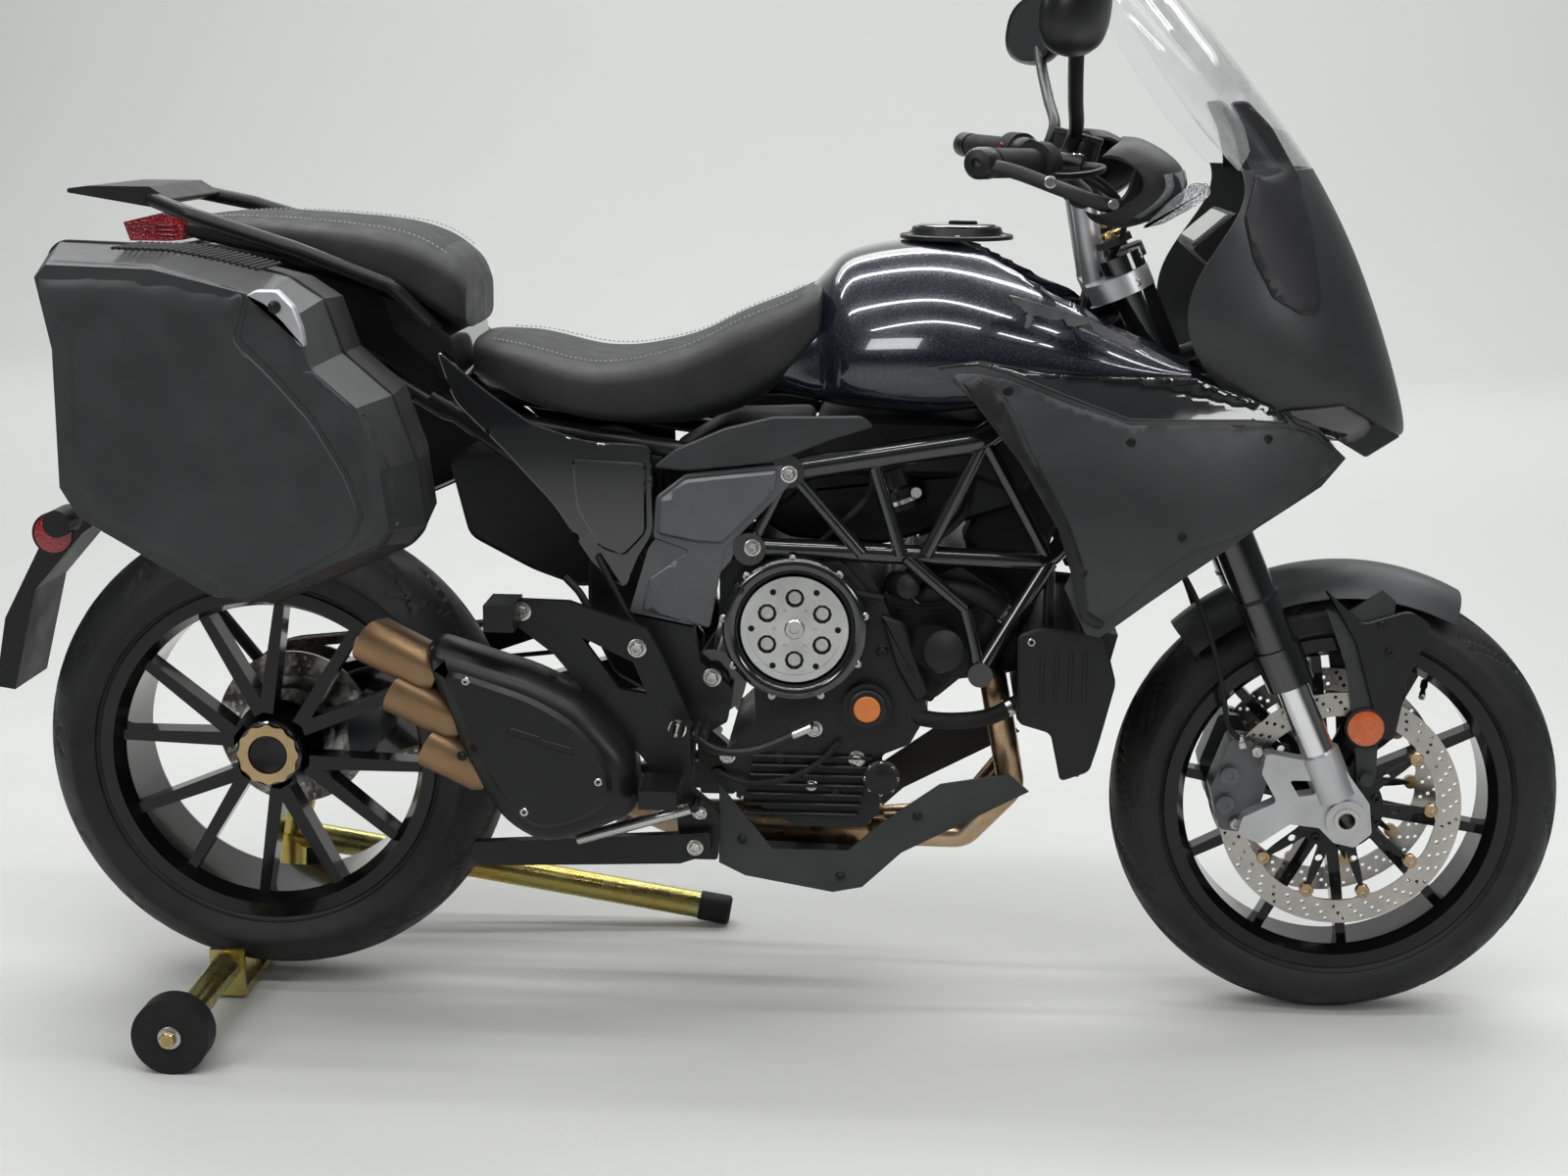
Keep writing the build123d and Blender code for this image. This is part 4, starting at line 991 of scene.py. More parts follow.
def bulge(low, depth, start, length, along=1):
    """Panel height that swells by depth over a length, along x (0) or up z (1)."""
    return lambda *at: low + depth * math.sin((at[along] - start) / length * math.pi)


def side_cover_pieces():
    """Gloss panel under the seat, matte cover below the tank and the faceted frame casting."""
    tail = [(-428, 905), (-362, 852), (-305, 812), (-235, 790), (-150, 786), (-146, 672),
            (-168, 636), (-183, 594), (-222, 622), (-276, 706), (-340, 776), (-404, 838)]
    inset = [(-252, 768), (-156, 764), (-156, 672), (-186, 640), (-218, 652), (-246, 702)]
    cover = [(-146, 760), (-118, 784), (-54, 813), (8, 829), (120, 831), (136, 817), (83, 801),
             (9, 771), (-104, 757)]
    casting = [(-160, 573), (-152, 614), (-100, 652), (-146, 668), (-142, 722), (-104, 752),
               (20, 767), (34, 745), (9, 720), (-53, 655), (-73, 551), (-117, 561)]
    facet = [(-138, 718), (-104, 746), (14, 760), (6, 726), (-56, 662), (-92, 664), (-140, 674)]
    for side, word in SIDES:
        made = Batch("side_covers_" + word, ("gloss", "satin", "grey", "cast"))
        skin(made, tail, Sheet(side, bulge(141, 9, 590, 320)), thick=3.2, step=12, corner=14,
             relax=0, edge=1.6, look=0)
        skin(made, inset, Sheet(side, bulge(146.5, 9, 590, 320)), thick=4.5, step=12, corner=9,
             relax=0, edge=2.2, look=0)
        skin(made, cover, Sheet(side, bulge(168, 8, -150, 290, 0)), thick=4.0, step=10, corner=7,
             relax=0, edge=1.8, look=2)
        skin(made, casting, Sheet(side, lambda x, z: 166), thick=5.0, step=12, corner=5, relax=0,
             edge=1.6, look=3)
        skin(made, facet, Sheet(side, lambda x, z: 169 + (z - 660) * 0.06 - (x + 60) * 0.03),
             thick=6.0, step=12, corner=6, relax=0, edge=3.0, look=3)
        made.done(sharp=34)


def bolt_pieces():
    """Silver and black bolts seated on the solids behind them, and the stand's wheel nuts."""
    made = Batch("bolts", ("steel", "satin", "nut"))
    engine = tree_of("crankcase", "frame", "pivot_plates", "footrests", "belly_pan",
                     "cylinder_block", "silencer", "side_plates", "radiator", "swingarm")
    silver = [(63, 413, 8), (119, 374, 8), (-18, 658, 8), (28, 754, 8), (-89, 340, 8),
              (-86, 299, 7), (-51, 374, 8), (-90, 259, 8), (-311, 576, 9), (-163, 531, 9),
              (-70, 484, 9), (-111, 425, 9), (60, 336, 6), (122, 372, 7)]
    black = [(-34, 604, 6), (150, 520, 6), (92, 330, 5), (18, 372, 6), (-350, 480, 5),
             (-300, 430, 5), (-380, 400, 5), (-450, 520, 5), (-260, 390, 5), (200, 300, 5),
             (-30, 262, 5), (100, 215, 5)]
    for side in (-1, 1):
        cast = Side(engine, side)
        for spots, look in ((silver, 0), (black, 1)):
            for x, z, r in spots:
                spot = cast(x, z)
                if spot and abs(spot[0].y) > 90:
                    washer = [(r * 1.35, -1), (r * 1.35, 1.0), (r * 1.2, 1.6), (r, 1.6)]
                    made.turned(spot[0], cast.out, washer, 24, look)
                    made.turned(spot[0] + cast.out * 1.4, cast.out, bolt_profile(r, r * 0.8),
                                6 if r > 7 else 20, look)
    ring = Side(tree_of("crankcase"), -1)
    for k in range(9):
        a = math.radians(12 + 40 * k)
        spot = ring(*polar(CLUTCH, 93, a))
        if spot:
            made.turned(spot[0], (0, -1, 0), bolt_profile(5.2, 4.0), 24, 0)
    for y, way in ((-373, -1), (323, 1)):
        made.turned((STAND_WHEEL[0], y, STAND_WHEEL[1]), (0, way, 0),
                    bolt_profile(11, 9, False), 6, 2)
    made.done(sharp=30)


def engine_pieces():
    """Covers, hoses, starter and throttle bodies on and behind the engine."""
    made = Batch("engine_covers", ("engine", "satin", "orange", "rubber", "steel"))
    made.turned((132, -161, 447), (0, -1, 0),
                [(25, -1), (25, 3), (22, 5), (19, 5), (18, 3.6)], 40, 1)
    made.turned((132, -162, 447), (0, -1, 0), [(17.5, -1), (17.5, 3.2), (16, 4.4), (0, 5)], 40, 2)
    made.turned((152, -153, 352), (0, -1, 0), [(24, -1), (24, 4), (20, 7), (0, 8)], 40, 0)
    for k in range(8):
        x, z = polar((152, 352), 21, math.radians(45 * k))
        made.turned((x, -157, z), (0, -1, 0), bolt_profile(2.6, 2.4), 16, 4)
    hoses = [
        ([(318, -118, 560), (282, -128, 588), (240, -132, 600), (206, -122, 594), (190, -96, 588)],
         13),
        ([(322, 118, 560), (280, 132, 590), (236, 136, 612), (200, 120, 618), (180, 90, 612)], 13),
        ([(330, -126, 452), (292, -136, 434), (246, -140, 428), (206, -138, 430), (176, -120, 436)],
         11),
        ([(150, -150, 592), (110, -158, 602), (60, -160, 626), (20, -156, 650), (-30, -152, 640)],
         4),
        ([(96, -152, 398), (70, -158, 372), (30, -160, 350), (-20, -158, 342), (-60, -152, 352)],
         4),
        ([(180, -132, 640), (214, -138, 668), (250, -134, 700), (262, -112, 744)], 6),
        ([(60, -120, 650), (100, -126, 690), (128, -122, 720), (140, -100, 760)], 5),
        ([(-220, -150, 640), (-196, -156, 596), (-176, -158, 560), (-150, -150, 530)], 4),
        ([(-262, -152, 612), (-240, -160, 590), (-228, -162, 560), (-238, -156, 524),
          (-270, -150, 508)], 5),
    ]
    for line, radius in hoses:
        made.tube(smooth_path(line, 10), radius, 14, 3)
        if radius > 9:
            clamp = [(radius + 0.4, 0), (radius + 1.6, 0.4), (radius + 1.6, 8), (radius + 0.4, 8.4)]
            for end, following in ((line[0], line[1]), (line[-1], line[-2])):
                way = Vector(following) - Vector(end)
                made.turned(Vector(end) + unit(way) * 12, way, clamp, 24, 4)
    for x, z, r, h in ((206, 522, 30, 66), (168, 604, 18, 40)):
        drum = [(r, 0), (r, h * 0.8), (r * 0.9, h), (r * 0.4, h + 3), (0, h + 3)]
        made.turned((x, -112, z), (0.35, -0.9, 0.1), drum, 40, 0)
    bodies = Batch("throttle_bodies", ("satin", "steel", "rubber"))
    for y in (-74, 0, 74):
        for profile, steps, look in (
                ([(31, 0), (31, 26), (27, 30), (27, 54), (34, 58), (34, 70), (0, 70)], 40, 0),
                ([(33, 8), (33.8, 8.4), (33.8, 14), (33, 14.4)], 32, 1)):
            bodies.turned((176, y, 700), (-0.35, 0, 0.94), profile, steps, look)
    bodies.tube([(190, -112, 724), (190, 112, 724)], 7, 16, 1)
    bodies.done()
    made.done(sharp=36)


def fork_pieces():
    """Brake hoses, caliper bolts, fork caps with adjusters and clamp bolts."""
    made = Batch("fork_fittings", ("rubber", "steel", "gold", "satin", "cast"), "steering")
    for side in (-1, 1):
        hose = [(626, side * 92, 396), (606, side * 98, 420), (596, side * 102, 470),
                (580, side * 100, 530), (556, side * 96, 590), (520, side * 84, 650),
                (478, side * 66, 706), (452, side * 40, 742)]
        made.tube(smooth_path(hose, 8), 3.6, 12, 0)
        union = [(6.5, 0), (6.5, 8), (5, 9), (5, 16), (4, 16)]
        made.turned((628, side * 92, 388), (-0.3, 0, 1), union, 20, 1)
        for x, z in ((646, 384), (622, 284)):
            made.turned((x, side * 94, z), (0, side, 0), bolt_profile(8.5, 8), 6, 1)
        for x, z in ((611, 350), (607, 310)):
            piston = [(12, -1), (12, 1.5), (10, 2.4), (5, 2.4), (4.4, 1.2), (0, 1.2)]
            made.turned((x, side * 99.5, z), (0, side, 0), piston, 32, 4)
        cap = fork_point(818, side * 105)
        along = fork_point(819, side * 105) - cap
        made.turned(cap, along, [(24, -4), (24, 5), (21, 7), (14, 7)], 6, 3)
        made.turned(cap + along * 6, along,
                    [(13, -1), (13, 6), (11, 8), (5, 8), (4, 6), (0, 6)], 28, 2)
        for distance in (488, 500, 762):
            made.turned(fork_point(distance, side * 136, 6), (0, side, 0),
                        bolt_profile(5, 5), 20, 1)
        seal = fork_point(214, side * 105)
        made.turned(seal, along, [(21.7, 0), (25, 0.5), (26.5, 3), (27, 9)], 36, 0)
        for distance in (230, 318):
            made.turned(fork_point(distance, side * 105), along,
                        [(27.4, 0), (29, 0.8), (29, 5), (27.4, 6)], 36, 3)
    top = fork_point(786, 0, -25)
    along = fork_point(787, 0, -25) - top
    made.turned(top, along, [(22, -8), (22, 3), (19, 6), (12, 6), (11, 3), (0, 3)], 6, 1)
    made.turned(fork_point(792, 0, 22), along,
                [(17, -14), (17, 4), (15, 6), (9, 6.5), (0, 6)], 32, 3)
    made.done(sharp=34)


def grip_way(side):
    """Direction of the bar's end on one side."""
    return Vector((-76, side * 166, 4))


def cockpit_pieces():
    """Levers, switch pods, reservoirs and cables on the bar, and the display."""
    made = Batch("bar_controls", ("satin", "rubber", "steel", "plastic", "dark_glass", "red"),
                 "steering")
    for side in (-1, 1):
        lever = [(368, side * 262, 1148), (396, side * 286, 1146), (396, side * 320, 1143),
                 (376, side * 366, 1140), (352, side * 406, 1139), (334, side * 436, 1140)]
        made.tube(smooth_path(lever, 8), 6.0, 14, 0, flat=0.6)
        perch = [(340, side * 254, 1152), (360, side * 258, 1150), (380, side * 266, 1148)]
        made.tube(smooth_path(perch, 6), 12, 16, 0)
        clamp = [(16, -26), (19, -22), (19, 10), (16, 14)]
        pivot = [(6, -4), (6, 20), (4.6, 21.5), (0, 21.5)]
        made.turned((330, side * 276, 1151), grip_way(side), clamp, 28, 0)
        made.turned((372, side * 262, 1140), (0, 0, 1), pivot, 20, 2)
        pod = Vector((322, side * 292, 1151))
        made.turned(pod, grip_way(side), [(17, -12), (20, -9), (20, 20), (17, 24)], 8, 3)
        for k, look in enumerate((5, 0, 0)):
            button = pod + Vector((-18, side * (2 + 12 * k), 6))
            made.turned(button, (-0.9, 0, 0.35), [(5, 0), (5, 4), (4, 5), (0, 5)], 20, look)
        reservoir = [(15, -2), (17, 2), (17, 24), (18.5, 25), (18.5, 31), (16, 33), (0, 33)]
        made.turned((382, side * 206, 1150), (0.25, 0, 1), reservoir, 36, 1 if side > 0 else 0)
        outlet = [(382, side * 206, 1152), (386, side * 220, 1140), (380, side * 240, 1140)]
        made.tube(smooth_path(outlet, 6), 4, 10, 1)
        for bend in range(2):
            cable = [(356, side * (246 - 14 * bend), 1146),
                     (404, side * (222 - 18 * bend), 1128 - 8 * bend),
                     (438, side * (170 - 12 * bend), 1092), (440, side * (112 - 8 * bend), 1050),
                     (420, side * (74 - 10 * bend), 1004),
                     (404, side * (46 - 8 * bend), 960 - 12 * bend)]
            made.tube(smooth_path(cable, 9), 3.4, 10, 1)
    made.done(sharp=38)
    dash = Batch("display", ("plastic", "dark_glass", "satin"))
    place = (Vector((559, 0, 1062.5)), Vector((0, -1, 0)), Vector((0.755, 0, 0.655)))
    for w, h, *rest in ((90, 32, -1, 4, 2.2, 0, 9), (80, 26, 3.2, 5.0, 0.8, 1, 5)):
        dash.plate([(-w, -h), (w, -h), (w, h), (-w, h)], *rest, place)
    dash.done()


def chain_pieces():
    """Side plates and pins of the drive chain."""
    made = Batch("chain_links", ("chain", "steel"))
    middle_y, plate_thick, link = 172, 1.6, 15.875
    big, small = Vector(REAR_AXLE), Vector(SPROCKET)
    r_big, r_small = 100.0, 38.0
    run = small - big
    turn = math.acos((r_big - r_small) / run.length)
    way = math.atan2(run.y, run.x)
    line = []
    for k in range(41):
        a = way - turn - (2 * math.pi - 2 * turn) * k / 40
        line.append(big + Vector((math.cos(a), math.sin(a))) * r_big)
    for k in range(17):
        a = way + turn - 2 * turn * k / 16
        line.append(small + Vector((math.cos(a), math.sin(a))) * r_small)
    closed = resampled(line, 2.0)
    total = sum((closed[k] - closed[k - 1]).length for k in range(len(closed)))
    count = int(total / link)
    pitch = total / count
    marks, travel, here = [], 0.0, closed[0]
    for following in closed[1:] + closed[:1]:
        step = (following - here).length
        while travel + step >= pitch * len(marks) and len(marks) < count:
            t = (pitch * len(marks) - travel) / step if step else 0
            marks.append(here + (following - here) * t)
        travel += step
        here = following
    for k in range(count):
        a, b = marks[k], marks[(k + 1) % count]
        d = (b - a).normalized()
        n = Vector((-d.y, d.x))
        mid = (a + b) / 2
        shape = [a + n * 6 - d * 2, a + n * 7.2 + d * 2, mid + n * 5, b + n * 7.2 - d * 2,
                 b + n * 6 + d * 2, b + d * 6.4, b - n * 6 + d * 2, b - n * 7.2 - d * 2,
                 mid - n * 5, a - n * 7.2 + d * 2, a - n * 6 - d * 2, a - d * 6.4]
        off = 8.4 if k % 2 else 7.0
        for edge in (-1, 1):
            low, high = sorted(middle_y + edge * y for y in (off, off + plate_thick))
            made.plate(shape, low, high, 0.4, 0)
        made.turned((a.x, 161.4, a.y), (0, 1, 0), [(2.6, 0), (2.6, 21.2)], 10, 1)
    made.done(sharp=30)


def rear_pieces():
    """Tyres and caps of the stand's wheels, its rubber foot, two cables and the front valve."""
    made = Batch("rear_fittings", ("zinc", "satin", "clear", "amber", "rubber", "plastic", "steel"))
    for side, wheel_y in ((-1, -350), (1, 300)):
        inner = wheel_y - side * 23
        made.turned((STAND_WHEEL[0], inner - side * 40, STAND_WHEEL[1]), (0, side, 0),
                    [(20.4, 0), (21.6, 1), (21.6, 39), (20.4, 40)], 36, 1)
        made.turned((STAND_WHEEL[0], wheel_y + side * 17, STAND_WHEEL[1]), (0, side, 0),
                    [(15, -1), (15, 2), (13, 3), (0, 3)], 32, 6)
    foot = [(20.6, -40), (21.8, -38), (21.8, 4), (18, 8), (0, 8)]
    made.turned((-84, 246, 21), unit((657, 6, -107)), foot, 36, 4)
    hose = [(-640, 60, 392), (-600, 76, 420), (-520, 96, 430), (-400, 104, 440), (-280, 112, 452)]
    cable = [(-880, 20, 668), (-840, 60, 660), (-780, 96, 600), (-700, 116, 500)]
    for line, radius in ((hose, 3.4), (cable, 3.0)):
        made.tube(smooth_path(line, 8), radius, 10, 4)
    made.done(sharp=36)
    valve = Batch("front_valve", ("steel", "rubber"), "front_wheel")
    axle = Vector((FRONT_AXLE[0], 0, FRONT_AXLE[1]))
    out = unit(Vector((872, 0, 455)) - axle)
    stem = [(5, -4), (5, 8), (3.4, 10), (3.4, 22), (4.4, 23), (4.4, 32), (3.4, 33), (0, 33)]
    valve.turned(axle + out * 196 + Vector((0, -12, 0)), unit(Vector((0, -1, 0)) - out * 0.5),
                 stem, 20, 0)
    valve.done()


# -------------------- pieces that stand in for plain solids
class Over(Side):
    """Side casts that stay at least as far out as a plane."""

    def __init__(self, tree, side, plane):
        super().__init__(tree, side)
        self.plane = plane

    def __call__(self, u, v):
        spot = super().__call__(u, v)
        flat = Vector((u, self.side * self.plane, v))
        if spot is None or spot[0].y * self.side < self.plane:
            return flat, self.out
        return spot


def drilled(batch, centre, low, high, inner, outer, holes, look=0, steps=180):
    """Ring across the machine: inner and outer give radii, holes are (angle, radius, size)."""
    loops = [[Vector(polar((0, 0), edge(a), a)) for a in angles(steps)] for edge in (outer, inner)]
    spots = [(Vector(polar((0, 0), r, a)), size) for a, r, size in holes]
    for at, size in spots:
        loops.append([at + Vector(polar((0, 0), size, b)) for b in angles(10)])
    points = [p for loop in loops for p in loop]
    edges, base = [], 0
    for loop in loops:
        edges += [(base + k, base + (k + 1) % len(loop)) for k in range(len(loop))]
        base += len(loop)
    verts, _, faces, _, _, _ = delaunay_2d_cdt(points, edges, [], 1, 1e-6)
    kept = []
    for face in faces:
        mid = sum((verts[k] for k in face), Vector((0, 0))) / len(face)
        if inside(mid, loops[0]) and not inside(mid, loops[1]):
            near = [(at, size) for at, size in spots if abs(mid.x - at.x) < size]
            if all((mid - at).length > size * 0.9 for at, size in near):
                kept.append(face)
    size = len(verts)
    used = {(a, b) for face in kept for a, b in zip(face, face[1:] + face[:1])}
    rim = [(a, b) for a, b in used if (b, a) not in used]
    cx, cz = centre
    flat = [Vector((cx + p.x, y, cz + p.y)) for y in (low, high) for p in verts]
    batch.add(flat, list(kept) + [tuple(size + k for k in reversed(face)) for face in kept]
              + [(b, a, size + a, size + b) for a, b in rim], look)


def hole_rows(turns, rows):
    """Holes as (angle, radius, size), each row (shift, radius, size) repeated round the disc."""
    return [(a + shift, radius, size) for a in angles(turns) for shift, radius, size in rows]


def lugged(radius, height, count, sharpness):
    """Edge radius by angle, with even lugs (or, below zero, notches)."""
    return lambda a: radius + height * max(0.0, math.cos(count * a)) ** sharpness


def plain(radius):
    """Edge radius of a plain circle."""
    return lambda a: radius


def brake_pieces():
    """Drilled floating front discs on star carriers, the bobbins between them, the rear disc."""
    arm_step = 36
    discs = Batch("drilled_discs", "front_disc", "front_wheel")
    stars = Batch("star_carriers", ("satin", "nut", "steel"), "front_wheel")
    holes = hole_rows(40, ((0, 137.5, 2.7), (0.045, 146.5, 2.7), (0.09, 154.2, 2.5)))
    windows = [(math.radians(arm_step * k), 74, 5.5) for k in range(10)]
    windows += [(math.radians(arm_step * k + 18), 50, 6.5) for k in range(10)]
    bobbin = [(9.2, -2), (9.2, 6.6), (8.2, 7.6), (5.2, 7.6), (4.8, 5.4), (0, 5.4)]
    for side in (-1, 1):
        low, high = sorted((side * 66, side * 70.3))
        drilled(discs, FRONT_AXLE, low, high, lugged(128.0, -7.5, 10, 6), plain(160.0), holes)
        low, high = sorted((side * 62.0, side * 68.5))
        drilled(stars, FRONT_AXLE, low, high, plain(36.5), lugged(58.0, 61.5, 10, 3.2), windows,
                0, 240)
        for k in range(10):
            x, z = polar(FRONT_AXLE, 120.5, math.radians(arm_step * k))
            stars.turned((x, side * 64.5, z), (0, side, 0), bobbin, 28, 1)
            x, z = polar(FRONT_AXLE, 50, math.radians(arm_step * k + 18))
            stars.turned((x, side * 64, z), (0, side, 0), bolt_profile(6.2, 7.2), 24, 0)
    discs.done(sharp=30, replaced=("front_discs",))
    stars.done(sharp=30, replaced=("disc_carriers",))
    rear = Batch("drilled_rear_disc", ("rear_disc", "satin"), "rear_wheel")
    holes = hole_rows(30, ((0, 84, 2.8), (0.07, 93, 2.8), (0.14, 102, 2.6)))
    drilled(rear, REAR_AXLE, 62, 67, lambda a: 76.0 + 3 * math.cos(6 * a), plain(110.0), holes)
    rear.done(sharp=30)
    nut = Batch("rear_nut_ring", ("nut", "gloss", "satin"), "rear_wheel")
    drilled(nut, REAR_AXLE, -83, -71.6, plain(27.0),
            lambda a: 40.5 + 1.8 * max(-0.6, math.cos(12 * a)), [], 0, 144)
    for y, profile, steps, look in (
            (-71.8, [(45, -2), (45, 3), (43, 5), (0, 5)], 60, 1),
            (-76.5, [(27.2, -1), (27.2, 3.4), (24, 4.6), (13, 1.0), (0, 1.0)], 48, 2)):
        nut.turned((REAR_AXLE[0], y, REAR_AXLE[1]), (0, -1, 0), profile, steps, look)
    nut.done(sharp=34)


def clutch_piece():
    """Clutch cover with six deep windows, the spring bolts in them and the housing's ring."""
    cx, cz = CLUTCH
    out = (0, -1, 0)
    made = Batch("clutch_cover", ("clutch", "engine", "steel", "gloss"))
    holes = [(math.radians(60 * k + 30), 41, 12.5) for k in range(6)]
    holes += [(math.radians(60 * k), 56, 4.2) for k in range(6)]
    drilled(made, CLUTCH, -166, -161, plain(10.0), plain(69.6), holes, 0, 120)
    drilled(made, CLUTCH, -167.2, -164, plain(60.5), plain(69.6), [], 0, 120)
    made.turned((cx, -160.5, cz), out, [(69, -12), (69, 0), (0, 0)], 64, 1)
    spring_bolt = [(8.6, 0), (8.6, 2.6), (7.8, 3.4), (4.4, 3.4), (4, 1.6), (0, 1.6)]
    for k in range(6):
        x, z = polar(CLUTCH, 41, math.radians(60 * k + 30))
        made.turned((x, -160.5, z), out, spring_bolt, 28, 2)
        x, z = polar(CLUTCH, 26, math.radians(60 * k))
        made.turned((x, -165.6, z), out, [(3.6, 0), (3.2, 1.6), (0, 1.8)], 20, 2)
    hub = [(13, 0), (13, 6), (11.6, 7.4), (6, 7.4), (5.4, 4), (0, 4)]
    made.turned((cx, -162, cz), out, hub, 36, 2)
    made.done(sharp=30, replaced=("clutch_plate",))
    ring = Batch("clutch_housing_ring", ("gloss", "engine"))
    rim = [(93, -6), (93.4, 1), (91, 4), (85, 5.5), (79, 4), (76, 0), (76, -6)]
    ring.turned((cx, -166, cz), out, rim, 96, 0, wrap=True)
    ring.done()


def mirror_pieces():
    """Rounded mirror heads turned in towards the rider, on forged stalks."""
    made = Batch("mirror_heads", ("satin", "dark_glass", "plastic"), "steering")
    for side in (-1, 1):
        n = unit((-0.90, -0.42 * side, 0.14))
        u = unit(Vector((0, 0, 1)).cross(n))
        v = n.cross(u)
        at = Vector((344, side * 448, 1322))
        rings = []
        for depth, grow in ((-1.0, 0.90), (1.5, 0.985), (0, 1.0), (-8, 1.02), (-18, 0.95),
                            (-28, 0.80), (-35, 0.58), (-39, 0.30), (-40, 0.05)):
            rings.append([at + n * depth + u * 76 * grow * power(math.cos(a), 0.8)
                          + v * (50 + 6 * side * math.cos(a)) * grow * power(math.sin(a), 0.8)
                          for a in angles(56)])
        made.rings(rings, 0)
        made.rings([[at + n * lift + (p - at) * grow for p in rings[0]]
                    for lift, grow in ((0.5, 1.0), (1.2, 0.99))], 1)
        stalk = [(358, side * 215, 1146), (368, side * 216, 1172), (372, side * 236, 1192),
                 (366, side * 300, 1222), (360, side * 380, 1262), (358, side * 424, 1290),
                 (360, side * 440, 1306)]
        made.tube(smooth_path(stalk, 8), 9.5, 18, 0, flat=0.8)
        made.turned((357, side * 215, 1144), (0.3, 0, 1),
                    [(13, 0), (13, 12), (11, 16), (10, 20)], 6, 2)
    made.done(sharp=44, replaced=("mirrors",))


def guard_pieces():
    """Curved hand shields with their carriers, bar weights and clear signals."""
    made = Batch("hand_shields", ("plastic", "satin", "steel"), "steering")
    signals = Batch("shield_signals", ("clear", "amber"), "steering")
    wall = 5.0
    for side in (-1, 1):
        outer = [(398, 1084), (424, 1079), (454, 1088), (480, 1106), (495, 1126), (492, 1146),
                 (474, 1164), (446, 1179), (424, 1182)]
        stations = [(246, 8, 0.82), (262, 2, 1.0), (310, 0, 1.0), (360, -4, 0.99), (400, -12, 0.94),
                    (424, -24, 0.82), (436, -36, 0.66)]
        rings, front = [], []
        for y, shift, scale in stations:
            line = [Vector((440 + shift + (x - 440) * scale, side * y, 1130 + (z - 1130) * scale))
                    for x, z in outer]
            back = []
            for k, p in enumerate(line):
                shift_in = wall / 2 if k < 4 else -wall / 2 if k > 6 else 0
                back.append(Vector((p.x - wall, p.y, p.z + shift_in)))
            rings.append(smooth_path(line, 4) + list(reversed(smooth_path(back, 4))))
            front.append([p + Vector((2.0, 0, 0)) for p in line[2:6]])
        made.rings(rings, 0)
        strip = []
        for line in front[2:6]:
            fine = smooth_path(line, 4)
            strip.append(fine + [p - Vector((3.4, 0, 0)) for p in reversed(fine)])
        signals.rings(strip, 0)
        side_plate = [(392, 1092), (428, 1084), (462, 1096), (486, 1116), (476, 1142), (440, 1166),
                      (428, 1150), (420, 1122)]
        made.side_plate(side_plate, side, 402, 412, 2.5, 0, 8)
        lens_plate = [(437, 1082), (462, 1088), (500, 1110), (514, 1122), (510, 1134), (492, 1134),
                      (466, 1112)]
        signals.side_plate(lens_plate, side, 410, 420, 3, 0, 6)
        arm = [(248, side * 462, 1154), (290, side * 462, 1146), (340, side * 448, 1128),
               (392, side * 424, 1110), (430, side * 404, 1104)]
        made.tube(smooth_path(arm, 8), 10, 14, 0, flat=0.55)
        weight = [(17, 0), (18, 2), (18, 26), (15, 32), (6, 33), (5, 30), (0, 30)]
        made.turned((262, side * 438, 1154), unit(grip_way(side)), weight, 32, 1)
        inner_arm = [(392, side * 132, 1104), (424, side * 190, 1092), (440, side * 244, 1092)]
        made.tube(smooth_path(inner_arm, 8), 9, 14, 0, flat=0.6)
        screw = [(7, -2), (7, 8), (5.6, 9.4), (3.6, 9.4), (3.2, 7), (0, 7)]
        for x, y, z in ((330, 454, 1134), (404, 420, 1108)):
            made.turned((x, side * y, z), (0.1, side, 0.1), screw, 20, 2)
    made.done(sharp=40, replaced=("handguards",))
    signals.done(sharp=40)


